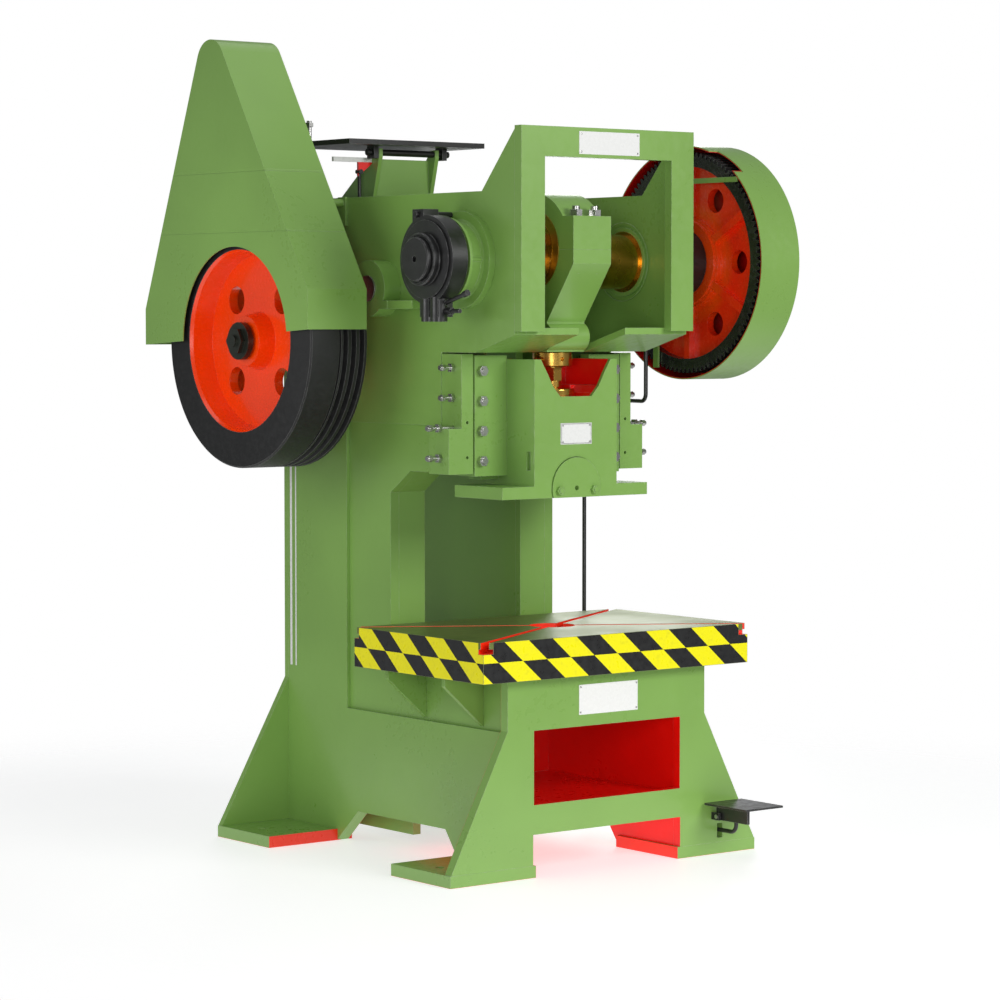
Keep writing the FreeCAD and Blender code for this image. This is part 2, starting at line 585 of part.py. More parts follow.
def build_brake():
    x0 = -BRAKE_FACE_X + 16
    x1 = -SKIN_OUTER - 112
    inner = BRAKE_DRUM_RADIUS + SEAT_GAP
    band = ring_x(BRAKE_BAND_RADIUS, inner, x0, x1, 0, CRANK_Z)
    lug = box(x0, x1, -70, -22, CRANK_Z - 212, CRANK_Z - inner + 2)
    tail = box(x0, x1, -16, 40, CRANK_Z - 212, CRANK_Z - inner + 2)
    ear = box(x0, x1, 18, 86, CRANK_Z + 122, CRANK_Z + 186)
    body = fuse([band, lug, tail, ear])
    body = body.cut(disc_x(inner, x0 - 1, x1 + 1, 0, CRANK_Z))
    body = body.cut(box(x0 - 1, x1 + 1, -22, -16, CRANK_Z - 230, CRANK_Z - 100))
    middle = (x0 + x1) / 2
    body = body.cut(disc_y(8 + SEAT_GAP, -90, 60, middle, CRANK_Z - 190))
    body = body.cut(disc_x(12, x0 - 1, 0, 52, CRANK_Z + 166))
    save("brake_band", body)
    bolt = fuse([disc_y(8, -160, 66, middle, CRANK_Z - 190),
                 hex_y(26, 66 - 14, 66, middle, CRANK_Z - 190),
                 hex_y(26, -112, -98, middle, CRANK_Z - 190),
                 disc_y(13, -98, -71, middle, CRANK_Z - 190)])
    anchor = disc_x(12 - SEAT_GAP, x0 - 14, -SKIN_OUTER - 28, 52, CRANK_Z + 166)
    save("brake_bolts", bolt, anchor)


# ---------------------------------------------------------------- connecting rod
def build_rod():
    w = ROD_HALF_WIDTH
    split = PIN_Z
    bush_outer = PIN_RADIUS + BUSH_WALL
    body = plate_yz([(-EAR_Y, split), (-EAR_Y, EAR_BOTTOM), (-80, 2045), (-80, ROD_BOTTOM),
                     (80, ROD_BOTTOM), (80, 2045), (EAR_Y, EAR_BOTTOM), (EAR_Y, split)], -w, w)
    bulge = [disc_x(55, -w, w, sign * 58, ROD_BOTTOM + 56) for sign in (-1, 1)]
    body = fuse([body] + bulge)
    body = body.cut(disc_x(bush_outer, -w - 1, w + 1, 0, PIN_Z))
    body = body.cut(disc_z(SCREW_RADIUS + RUN_CLEARANCE, ROD_BOTTOM - 1, ROD_BOTTOM + 205, 0, 0))

    cap = disc_x(CAP_RADIUS, -w, w, 0, PIN_Z).common(box(-w, w, -300, 300, split, split + 300))
    ears = box(-w, w, -EAR_Y, EAR_Y, split, EAR_TOP)
    cap = fuse([cap, ears]).cut(disc_x(bush_outer, -w - 1, w + 1, 0, PIN_Z))
    hole = 15.0
    bolts = []
    for x in (-45.0, 45.0):
        for y in (-EAR_Y + 42, EAR_Y - 42):
            drill = disc_z(hole + SEAT_GAP, EAR_BOTTOM - 60, EAR_TOP + 1, x, y)
            cap = cap.cut(drill)
            body = body.cut(drill.common(box(-w, w, -300, 300, split - 90, split + 1)))
            bolts.append(fuse([disc_z(hole, split - 88, EAR_TOP + 38, x, y),
                               hex_z(44, EAR_TOP, EAR_TOP + 24, x, y)]))
    save("con_rod", body)
    save("con_rod_cap", cap)
    save("con_rod_bolts", *bolts)
    bush = ring_x(bush_outer, PIN_RADIUS + RUN_CLEARANCE, -w, w, 0, PIN_Z)
    flange = ring_x(bush_outer + 24, PIN_RADIUS + RUN_CLEARANCE, w, w + 3, 0, PIN_Z)
    save("crankpin_bush", fuse([bush, flange, mirrored(flange)]))


def build_screw():
    nut_top = ROD_BOTTOM - SEAT_GAP
    nut_bottom = nut_top - LOCK_NUT_HEIGHT
    hex_bottom = SEAT_CAP_TOP + 30
    thread = disc_z(SCREW_RADIUS, nut_bottom - 4, ROD_BOTTOM + 200, 0, 0)
    hexed = hex_z(HEX_FLATS, hex_bottom, nut_bottom - 2, 0, 0)
    neck = disc_z(26, BALL_Z, hex_bottom, 0, 0)
    ball = Part.makeSphere(BALL_RADIUS, V(0, 0, BALL_Z))
    collar = disc_z(34, SEAT_CAP_TOP + 6, hex_bottom, 0, 0)
    save("ball_screw", fuse([thread, hexed, neck, ball, collar,
                             disc_z(30, nut_bottom - 4, nut_bottom, 0, 0)]))
    nut = disc_z(LOCK_NUT_RADIUS, nut_bottom, nut_top, 0, 0)
    nut = nut.makeChamfer(4, [edge for edge in nut.Edges if len(edge.Vertexes) == 1])
    nut = nut.cut(disc_z(SCREW_RADIUS + SEAT_GAP / 3, nut_bottom - 1, nut_top + 1, 0, 0))
    for i in range(6):
        angle = math.radians(60 * i + 20)
        hole = Part.makeCylinder(8, 22, V(56 * math.cos(angle), 56 * math.sin(angle),
                                          nut_bottom + LOCK_NUT_HEIGHT / 2),
                                 V(math.cos(angle), math.sin(angle), 0))
        nut = nut.cut(hole)
    save("lock_nut", nut)
    cap = disc_z(SEAT_CAP_RADIUS, SEAT_CAP_TOP - SEAT_CAP_THICKNESS, SEAT_CAP_TOP, 0, 0)
    cap = cap.makeFillet(5, [edge for edge in cap.Edges if len(edge.Vertexes) == 1])
    save("seat_cap", cap.cut(disc_z(26 + SEAT_GAP / 3, 1600, 2000, 0, 0)))


# ---------------------------------------------------------------- ram and gibs
def build_ram():
    back = GUIDE_Y - SLIDE_GAP
    block = box(-RAM_HALF + SLIDE_GAP, RAM_HALF - SLIDE_GAP, RAM_FRONT_Y, back, RAM_BOTTOM, RAM_TOP)
    wings = box(-WING_HALF, WING_HALF, WING_FRONT_Y, back, RAM_BOTTOM + FLANGE_HEIGHT + 20, RAM_TOP)
    flange = box(-FLANGE_HALF, FLANGE_HALF, RAM_FRONT_Y, back, RAM_BOTTOM,
                 RAM_BOTTOM + FLANGE_HEIGHT)
    ram = fuse([block, wings, flange])

    # Curved notch in the front wall, and the pocket behind it.
    notch = plate_xz([(-170, RAM_TOP + 1), (-136, 1850), (-112, 1805), (-76, RAM_NOTCH_Z),
                      (76, RAM_NOTCH_Z), (112, 1805), (136, 1850), (170, RAM_TOP + 1)],
                     RAM_FRONT_Y - 1, 0)
    swing = ECCENTRICITY + 3
    drop = STROKE + 3
    pocket = box(-168, 168, -SEAT_CAP_RADIUS - swing, SEAT_CAP_RADIUS + swing,
                 1805, RAM_TOP + 1)
    well = box(-SEAT_CAP_RADIUS - 3, SEAT_CAP_RADIUS + 3, -SEAT_CAP_RADIUS - swing,
               SEAT_CAP_RADIUS + swing, SEAT_CAP_TOP - SEAT_CAP_THICKNESS - drop, 1806)
    socket = box(-BALL_RADIUS - 3, BALL_RADIUS + 3, -BALL_RADIUS - swing, BALL_RADIUS + swing,
                 BALL_Z - BALL_RADIUS - drop, SEAT_CAP_TOP - SEAT_CAP_THICKNESS - drop + 1)
    rod_sweep = ROD_HALF_WIDTH + 4
    rear_notch = box(-rod_sweep, rod_sweep, 0, back + 1, ROD_BOTTOM - STROKE - 7, RAM_TOP + 1)
    ram = ram.cut(notch).cut(pocket).cut(well).cut(socket).cut(rear_notch)
    side_notch = box(-RAM_HALF - 1, -RAM_HALF + 14, -118, -96, 1490, 1560)
    ram = ram.cut(side_notch).cut(mirrored(side_notch))

    # Tool shank bore with its clamp seat.
    ram = ram.cut(disc_z(SHANK_RADIUS, RAM_BOTTOM - 1, RAM_BOTTOM + 90, 0, 0))
    seat = disc_y(118, RAM_FRONT_Y - 1, RAM_FRONT_Y + 24, 0, RAM_BOTTOM + 35)
    seat = seat.common(box(-130, 130, RAM_FRONT_Y - 2, 0, RAM_BOTTOM - 1, RAM_TOP))
    ram = ram.cut(seat)
    clamp = disc_y(116, RAM_FRONT_Y - 6, RAM_FRONT_Y + 24, 0, RAM_BOTTOM + 35)
    clamp = clamp.common(box(-130, 130, RAM_FRONT_Y - 10, 0, RAM_BOTTOM, RAM_TOP))
    clamp = clamp.cut(disc_y(9, RAM_FRONT_Y - 10, RAM_FRONT_Y + 14, 0, RAM_BOTTOM + 35))
    clamp_bolts = []
    for x in (-84.0, 84.0):
        z = RAM_BOTTOM + 27
        clamp = clamp.cut(disc_y(10 + SEAT_GAP, RAM_FRONT_Y - 10, RAM_FRONT_Y + 30, x, z))
        ram = ram.cut(disc_y(10 + SEAT_GAP, RAM_FRONT_Y, RAM_FRONT_Y + 82, x, z))
        clamp_bolts.append(fuse([disc_y(10, RAM_FRONT_Y - 22, RAM_FRONT_Y + 80, x, z),
                                 hex_y(30, RAM_FRONT_Y - 18, RAM_FRONT_Y - 6, x, z)]))
    save("ram", ram)
    save("tool_clamp", clamp)
    save("tool_clamp_bolts", *clamp_bolts)


def build_gibs():
    front = box(RAM_HALF, GIB_OUTER, GIB_FRONT_Y, WING_FRONT_Y - SLIDE_GAP, *GIB_Z)
    side = box(WING_HALF + SLIDE_GAP, GIB_OUTER, WING_FRONT_Y - 1, GUIDE_Y, *GIB_Z)
    gib = fuse([front, side])
    holder = fuse([box(HOLDER_INNER, HOLDER_OUTER, GIB_FRONT_Y + 2, GUIDE_Y, THROAT_TOP, GIB_Z[1] + 5),
                   box(HOLDER_INNER, HOLDER_WIDE, GIB_FRONT_Y + 2, GUIDE_Y, THROAT_TOP,
                       HOLDER_STEP_Z)])
    bolts = []
    screws = []
    bolt_x = (RAM_HALF + GIB_OUTER) / 2 + 46
    first = GIB_Z[0] + 58
    pitch = (GIB_Z[1] - GIB_Z[0] - 116) / 3
    for i in range(4):
        z = first + i * pitch
        gib = gib.cut(disc_y(11, GIB_FRONT_Y - 1, GUIDE_Y + 1, bolt_x, z))
        bolts.append(fuse([disc_y(11 - SEAT_GAP, GIB_FRONT_Y - 24, GUIDE_Y, bolt_x, z),
                           hex_y(36, GIB_FRONT_Y - 20, GIB_FRONT_Y, bolt_x, z)]))
        face = HOLDER_WIDE if z < HOLDER_STEP_Z else HOLDER_OUTER
        y = 84.0
        holder = holder.cut(disc_x(9 + SEAT_GAP, HOLDER_INNER - 1, HOLDER_WIDE + 1, y, z + 12))
        screws.append(fuse([disc_x(9, GIB_OUTER, face + 62, y, z + 12),
                            hex_x(30, face, face + 14, y, z + 12),
                            hex_x(24, face + 40, face + 54, y, z + 12)]))
    holes = [(HOLDER_INNER + 27, HOLDER_STEP_Z + 22), (HOLDER_INNER + 27, THROAT_TOP + 62)]
    for x, z in holes:
        holder = holder.cut(disc_y(6, GIB_FRONT_Y, GIB_FRONT_Y + 30, x, z))
    save("gibs", *both_sides(gib))
    save("gib_holders", *both_sides(holder))
    save("gib_bolts", *[item for bolt in bolts for item in both_sides(bolt)])
    save("gib_set_screws", *[item for screw in screws for item in both_sides(screw)])


# ---------------------------------------------------------------- gears
def build_gears():
    direction = math.atan2(BACK_Z - CRANK_Z, BACK_Y)
    x0, x1 = BULL_X
    bull = gear_x(BULL_TEETH, CRANK_MODULE, x0, x1, 0, CRANK_Z, 0.0)
    rim = BULL_PITCH - 48
    for side in ((x0 - 1, x0 + 34), (x1 - 34, x1 + 1)):
        bull = bull.cut(ring_x(rim, 165, *side, 0, CRANK_Z))
    bull = bull.cut(disc_x(GEAR_BORE_RADIUS + RUN_CLEARANCE, x0 - 1, x1 + 1, 0, CRANK_Z))
    for i in range(6):
        angle = math.radians(60 * i + 30)
        ribs = box(x0 + 8, x1 - 8, 160, rim + 4, -16, 16)
        ribs.rotate(V(0, 0, 0), V(1, 0, 0), math.degrees(angle))
        ribs.translate(V(0, 0, CRANK_Z))
        bull = bull.fuse(ribs)
        window = disc_x(46, x0 - 1, x1 + 1, 275 * math.cos(angle + math.pi / 6),
                        CRANK_Z + 275 * math.sin(angle + math.pi / 6))
        bull = bull.cut(window)
    hub = ring_x(176, GEAR_BORE_RADIUS + RUN_CLEARANCE, x0 + 10, x1 - 10, 0, CRANK_Z)
    bull = fuse([bull.Solids[0], hub])
    save("bull_gear", bull)

    phase = meshing_phase(BULL_TEETH, 0.0, BACK_PINION_TEETH, CRANK_MODULE, direction)
    pinion = gear_x(BACK_PINION_TEETH, CRANK_MODULE, x0 - 8, x1 + 8, BACK_Y, BACK_Z, phase)
    save("back_pinion", pinion.cut(disc_x(SHAFT_RADIUS, x0 - 20, x1 + 20, BACK_Y, BACK_Z)))

    g0, g1 = BACK_GEAR_X
    gear = gear_x(BACK_GEAR_TEETH, BACK_MODULE, g0, g1, BACK_Y, BACK_Z, 0.0)
    inner_rim = BACK_MODULE * BACK_GEAR_TEETH / 2 - 42
    for side in ((g0 - 1, g0 + 24), (g1 - 24, g1 + 1)):
        gear = gear.cut(ring_x(inner_rim, 100, *side, BACK_Y, BACK_Z))
    for i in range(6):
        angle = math.radians(60 * i)
        gear = gear.cut(disc_x(42, g0 - 1, g1 + 1, BACK_Y + 195 * math.cos(angle),
                               BACK_Z + 195 * math.sin(angle)))
    save("back_gear", gear.cut(disc_x(SHAFT_RADIUS, g0 - 1, g1 + 1, BACK_Y, BACK_Z)))
    save("back_shaft", disc_x(SHAFT_RADIUS, -SKIN_OUTER - 84, x1 + 30, BACK_Y, BACK_Z))

    direction = math.atan2(DRIVE_Z - BACK_Z, DRIVE_Y - BACK_Y)
    phase = meshing_phase(BACK_GEAR_TEETH, 0.0, DRIVE_PINION_TEETH, BACK_MODULE, direction)
    pinion = gear_x(DRIVE_PINION_TEETH, BACK_MODULE, g0 - 5, g1 + 5, DRIVE_Y, DRIVE_Z, phase)
    save("flywheel_pinion", pinion.cut(disc_x(SHAFT_RADIUS, g0 - 20, g1 + 20, DRIVE_Y, DRIVE_Z)))
    save("flywheel_shaft", disc_x(SHAFT_RADIUS, FLYWHEEL_X[0] + 20, g1 + 20, DRIVE_Y, DRIVE_Z))


def build_flywheel():
    x0, x1 = FLYWHEEL_X
    r = FLYWHEEL_RADIUS
    groove = 22.0
    profile = [(x0 + 6, r - 2), (x0 + 130, r - 2), (x0 + 134, r - 12)]
    start = x0 + 138
    for i in range(3):
        left = start + i * 38
        profile += [(left, r - 2), (left + 7, r - 2), (left + 15, r - groove),
                    (left + 23, r - groove), (left + 31, r - 2)]
    profile += [(x1 - 4, r - 2), (x1, r - 8), (x1, FLYWHEEL_DISC_RADIUS + 8),
                (x1 - 20, FLYWHEEL_DISC_RADIUS)]
    web0 = x0 + FLYWHEEL_RECESS
    web1 = web0 + FLYWHEEL_WEB
    profile += [(web1, FLYWHEEL_DISC_RADIUS - 14), (web1, 120), (x1 - 10, 100), (x1 - 10, SHAFT_RADIUS),
                (x0 + 30, SHAFT_RADIUS), (x0 + 30, 96), (web0, 112), (web0, FLYWHEEL_DISC_RADIUS - 12),
                (x0 + 14, FLYWHEEL_DISC_RADIUS), (x0, FLYWHEEL_DISC_RADIUS + 8), (x0, r - 8)]
    wheel = turned_x(profile, DRIVE_Y, DRIVE_Z)
    for i in range(4):
        angle = math.radians(45 + 90 * i)
        wheel = wheel.cut(disc_x(54, web0 - 2, web1 + 2, DRIVE_Y + 222 * math.cos(angle),
                                 DRIVE_Z + 222 * math.sin(angle)))
    save("flywheel", wheel)
    cap = fuse([disc_x(72, x0 - 4, x0 + 20, DRIVE_Y, DRIVE_Z),
                hex_x(92, x0 - 24, x0 - 4, DRIVE_Y, DRIVE_Z),
                disc_x(24, x0 - 34, x0 - 24, DRIVE_Y, DRIVE_Z)])
    save("flywheel_nut", cap)


# ---------------------------------------------------------------- guards
def guard_outline(offset):
    """Belt guard seen from the side: straight flanks, rounded top, grown by offset."""
    front = DRIVE_Y - 500 - offset
    rear = DRIVE_Y + 636 + offset
    apex_y = DRIVE_Y + 156
    apex_z = 3134.0 - GUARD_APEX_RADIUS
    radius = GUARD_APEX_RADIUS + offset
    front_knee = V(0, front, 2168 + offset * 0.3)
    rear_knee = V(0, rear, 2094 + offset * 0.3)
    centre = V(0, apex_y, apex_z)

    def tangent(knee, side):
        reach = centre - knee
        spread = math.asin(radius / reach.Length)
        heading = math.atan2(reach.z, reach.y) + side * spread
        length = math.sqrt(reach.Length ** 2 - radius ** 2)
        return knee + V(0, math.cos(heading), math.sin(heading)) * length

    first = tangent(front_knee, 1)
    last = tangent(rear_knee, -1)
    edges = [Part.LineSegment(V(0, front, 2017), front_knee), Part.LineSegment(front_knee, first),
             Part.Arc(first, centre + V(0, 0, radius), last), Part.LineSegment(last, rear_knee),
             Part.LineSegment(rear_knee, V(0, rear, 1953)),
             Part.LineSegment(V(0, rear, 1953), V(0, front, 2017))]
    return Part.Face(Part.Wire([edge.toShape() for edge in edges]))


def build_guards():
    x0, x1 = GUARD_X
    outer = guard_outline(0).extrude(V(x1 - x0, 0, 0))
    outer.translate(V(x0, 0, 0))
    hollow = guard_outline(-SHEET).extrude(V(x1 - x0, 0, 0))
    hollow.translate(V(x0 + SHEET, 0, 0))
    below = box(x0 + SHEET, x1 + 1, DRIVE_Y - 500 + SHEET, DRIVE_Y + 636 - SHEET, 1900, 2100)
    guard = outer.cut(hollow).cut(below)
    guard = guard.cut(disc_x(FLYWHEEL_DISC_RADIUS + 18, x0 - 1, x0 + SHEET + 1, DRIVE_Y, DRIVE_Z))
    save("belt_guard", guard)

    bar_z = DRIVE_Z + FLYWHEEL_RADIUS + 22
    span = (bar_z - 2168) / (3134.0 - 2168)
    bar_front = DRIVE_Y - 500 + span * 640
    bar = box(x1 - 10, x1, bar_front, DRIVE_Y + 400, bar_z, bar_z + 44)
    bar = bar.common(hollow)
    arms = [disc_x(16, x1 - 9, -SKIN_OUTER, y, bar_z + 22) for y in (DRIVE_Y - 100, DRIVE_Y + 200)]
    posts = [box(-SKIN_OUTER - 10, -SKIN_OUTER, y - 25, y + 25, SHOULDER_Z - 110, bar_z + 44)
             for y in (DRIVE_Y - 100, DRIVE_Y + 200)]
    belt_bracket = fuse([bar] + arms + posts)

    g0, g1 = GEAR_GUARD_X
    bulge = CRANK_MODULE * BACK_PINION_TEETH / 2 + 26

    def cover(grow, a, b):
        main = disc_x(GEAR_GUARD_RADIUS + grow, a, b, 0, CRANK_Z)
        small = disc_x(bulge + grow, a, b, BACK_Y, BACK_Z)
        direction = V(0, BACK_Y, BACK_Z - CRANK_Z).normalize()
        across = V(0, -direction.z, direction.y) * (bulge + grow)
        corner = [V(a, 0, CRANK_Z) + across, V(a, BACK_Y, BACK_Z) + across,
                  V(a, BACK_Y, BACK_Z) - across, V(a, 0, CRANK_Z) - across]
        return fuse([main, small, prism(corner, V(b - a, 0, 0))])

    shell = cover(0, g0, g1).cut(cover(-6, g0 - 1, g1 - 6))
    relief = plate_yz([(-335, CRANK_Z + 500), (-335, CRANK_Z + 330), (-150, CRANK_Z + 400),
                       (-150, CRANK_Z + 500)], g0 - 1, g0 + 46)
    save("gear_guard", shell.cut(relief))

    inside = GEAR_GUARD_RADIUS - 6
    strap_z = CRANK_Z + 318
    stop = math.sqrt(inside ** 2 - (strap_z - CRANK_Z + 8) ** 2) - 2
    strap = box(g0 + 2, g0 + 10, -stop, 180, strap_z - 12, strap_z + 8)
    arm = box(SKIN_OUTER, g0 + 10, 150, 180, SHOULDER_Z - 70, SHOULDER_Z - 45)
    link = box(g0 + 2, g0 + 10, 150, 180, SHOULDER_Z - 70, strap_z + 8)
    low_arm = box(SKIN_OUTER, g0 + 10, 150, 180, CRANK_Z - 330, CRANK_Z - 300)
    low_reach = math.sqrt(inside ** 2 - 180 ** 2) - 1
    low_link = box(g0 + 2, g0 + 10, 150, 180, CRANK_Z - low_reach, CRANK_Z - 300)
    save("guard_brackets", belt_bracket, fuse([strap, arm, link]), fuse([low_arm, low_link]))


# ---------------------------------------------------------------- motor plate
def build_motor_mount():
    y = MOTOR_HINGE_Y
    z = MOTOR_PLATE_Z - MOTOR_HINGE_DROP
    face = box(-214, 80, y + 28, y + 46, SHOULDER_Z, z - 24)
    ribs = [plate_yz([(y + 28, SHOULDER_Z), (y - 16, z - 16), (y - 16, z + 16), (y + 16, z + 16),
                      (y + 46, z - 24), (y + 260, SHOULDER_Z)], x, x + 18) for x in (-214, 62)]
    bracket = fuse([face] + ribs)
    bracket = bracket.cut(disc_x(13 + RUN_CLEARANCE, -300, 300, y, z))
    save("motor_bracket", bracket)
    save("motor_hinge_pin", disc_x(13, -262, 136, y, z))
    plate = box(-430, 230, y - 120, y + 340, MOTOR_PLATE_Z, MOTOR_PLATE_Z + 20)
    lugs = [box(x, x + 22, y - 24, y + 24, z - 24, MOTOR_PLATE_Z + 1) for x in (-244, 92)]
    plate = fuse([plate] + lugs).cut(disc_x(13 + RUN_CLEARANCE, -500, 500, y, z))
    bolt = (-330.0, y + 300)
    plate = plate.cut(disc_z(17, MOTOR_PLATE_Z - 1, MOTOR_PLATE_Z + 21, *bolt))
    for sx in (-330, 130):
        for sy in (y - 60, y + 220):
            plate = plate.cut(box(sx - 40, sx + 40, sy - 8, sy + 8, MOTOR_PLATE_Z - 1, MOTOR_PLATE_Z + 21))
    save("motor_plate", plate)
    stud = fuse([disc_z(10, SHOULDER_Z, MOTOR_PLATE_Z + 110, *bolt),
                 hex_z(32, SHOULDER_Z, SHOULDER_Z + 18, *bolt),
                 hex_z(40, MOTOR_PLATE_Z - 20, MOTOR_PLATE_Z - SLIDE_GAP, *bolt),
                 hex_z(32, MOTOR_PLATE_Z + 86, MOTOR_PLATE_Z + 102, *bolt)])
    save("motor_jack_bolt", stud)


# ---------------------------------------------------------------- treadle and trip linkage
def build_treadle():
    pivot_y = FRONT_Y - 30
    pivot_z = 150.0
    x = TRIP_X
    tread = box(PEDAL_X[0], PEDAL_X[1], FRONT_Y - 248, FRONT_Y - 12, PEDAL_TOP - 8, PEDAL_TOP)
    arm = box(x - 30, x - 18, FRONT_Y - 190, pivot_y + 16, pivot_z - 14, PEDAL_TOP - 8)
    arm = fuse([tread, arm])
    arm = arm.cut(disc_x(8 + RUN_CLEARANCE, x - 40, x + 40, pivot_y, pivot_z))
    hook_pin = disc_x(6, x - 18, x + 16, pivot_y - 64, pivot_z)
    arm = fuse([arm, hook_pin])
    save("pedal", arm)
    lugs = [box(a, a + 10, pivot_y - 14, FRONT_Y, pivot_z - 14, pivot_z + 14) for a in (x - 44, x - 14)]
    lugs = [lug.cut(disc_x(8, x - 60, x + 60, pivot_y, pivot_z)) for lug in lugs]
    save("pedal_bracket", *lugs)
    pedal_pin = disc_x(8, x - 48, x, pivot_y, pivot_z)

    rod = 8.0
    front = pivot_y - 64
    top_y = 40.0
    top = SOFFIT_Z + 40
    low_eye_z = pivot_z + EYE_OFFSET
    high_eye_z = top - EYE_OFFSET
    route = [V(x, front, low_eye_z - 12), V(x, front, 92), V(x, 490, 92), V(x, 490, 1735),
             V(500, top_y, 1735), V(500, top_y, high_eye_z - 12)]
    bar = bent_rod(route, rod, 30)
    low_eye = ring_x(15, 9, x - 8, x + 8, front, low_eye_z)
    high_eye = ring_x(15, 9, 492, 508, top_y, high_eye_z)
    save("trip_rod", fuse(bar + [low_eye, high_eye]))

    # The lever's pin starts half its drop above the pivot, so its arc stays nearly upright.
    pivot = (top_y + 80, top - LEVER_DROP / 2)
    lever = plate_yz([(top_y - 14, top - 12), (pivot[0] - 30, pivot[1] - 20),
                      (pivot[0] + 20, pivot[1] - 20), (pivot[0] + 20, pivot[1] + 24),
                      (pivot[0] - 30, pivot[1] + LEVER_HEIGHT), (pivot[0] - 62, pivot[1] + LEVER_HEIGHT),
                      (pivot[0] - 34, pivot[1] + 24), (top_y - 14, top + 14)], 512, 528)
    lever = lever.cut(disc_x(12 + RUN_CLEARANCE, 400, 600, *pivot))
    lever = fuse([lever, disc_x(6, 488, 513, top_y, top)])
    save("trip_lever", lever)
    save("treadle_pins", pedal_pin, disc_x(12, SKIN_OUTER, 536, *pivot))


def build_plates():
    y = FRONT_Y - 2
    head = box(-145, 145, y, FRONT_Y, HEAD_TOP - 98, HEAD_TOP - 14)
    base = box(-142, 142, y, FRONT_Y, BED_TOP - BED_THICKNESS - 152, BED_TOP - BED_THICKNESS - 40)
    save("frame_nameplates", head, base)
    save("ram_nameplate", box(-75, 75, RAM_FRONT_Y - 2, RAM_FRONT_Y, 1585, 1665))


os.makedirs("parts", exist_ok=True)
build_frame()
build_base()
build_bed()
build_head()
build_crank_bearings()
build_shaft_bearings()
build_crank()
build_brake()
build_rod()
build_screw()
build_ram()
build_gibs()
build_gears()
build_flywheel()
build_guards()
build_motor_mount()
build_treadle()
build_plates()
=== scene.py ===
"""Looks of the geared C-frame stamping press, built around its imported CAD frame.

Metres throughout: +X is the operator's right, +Y runs to the back, +Z is up.
"""
import json
import math

import bmesh
import bpy
from mathutils import Matrix, Vector


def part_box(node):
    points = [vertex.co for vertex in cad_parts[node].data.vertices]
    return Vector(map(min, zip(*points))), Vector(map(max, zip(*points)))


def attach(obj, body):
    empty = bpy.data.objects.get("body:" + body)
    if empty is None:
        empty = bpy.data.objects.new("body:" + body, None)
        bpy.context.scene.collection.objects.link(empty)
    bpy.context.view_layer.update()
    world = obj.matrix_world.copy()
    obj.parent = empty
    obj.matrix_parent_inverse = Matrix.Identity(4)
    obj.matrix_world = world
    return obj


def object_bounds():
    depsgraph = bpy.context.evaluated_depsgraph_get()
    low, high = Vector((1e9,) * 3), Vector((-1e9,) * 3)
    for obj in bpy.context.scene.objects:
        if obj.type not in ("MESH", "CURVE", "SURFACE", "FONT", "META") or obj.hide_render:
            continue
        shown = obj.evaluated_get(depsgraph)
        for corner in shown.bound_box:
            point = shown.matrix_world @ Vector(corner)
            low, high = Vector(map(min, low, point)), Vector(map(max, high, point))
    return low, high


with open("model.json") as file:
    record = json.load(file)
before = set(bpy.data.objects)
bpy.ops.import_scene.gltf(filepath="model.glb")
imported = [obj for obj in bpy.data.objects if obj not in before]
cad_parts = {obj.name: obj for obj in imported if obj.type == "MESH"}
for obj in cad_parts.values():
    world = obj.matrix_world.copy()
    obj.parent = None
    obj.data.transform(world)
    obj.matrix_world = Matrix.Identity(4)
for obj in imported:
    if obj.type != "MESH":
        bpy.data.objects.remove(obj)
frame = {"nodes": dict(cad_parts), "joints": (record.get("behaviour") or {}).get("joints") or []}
cad_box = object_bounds()

MM = 0.001
JOINTS = {joint["name"]: joint for joint in frame["joints"]}
CRANK_AXIS = Vector(JOINTS["crank_spin"]["pos_m"])
FLYWHEEL_AXIS = Vector(JOINTS["flywheel_spin"]["pos_m"])
SLOT_DEPTH = 43 * MM  # T-slots of the bed


# ---------------------------------------------------------------- colours (linear)
GREEN = (0.225, 0.415, 0.088)
RED = (1.0, 0.006, 0.002)
GEAR_RED = (1.0, 0.030, 0.003)
ORANGE = (1.0, 0.058, 0.0)
BLACK = (0.012, 0.012, 0.012)
TYRE_BLACK = (0.006, 0.006, 0.006)
YELLOW = (0.90, 0.83, 0.0)
BRASS = (0.72, 0.43, 0.09)
GOLD_STEEL = (0.62, 0.33, 0.05)
STEEL = (0.50, 0.50, 0.48)
BED_STEEL = (0.19, 0.24, 0.06)
WHITE = (0.85, 0.85, 0.83)


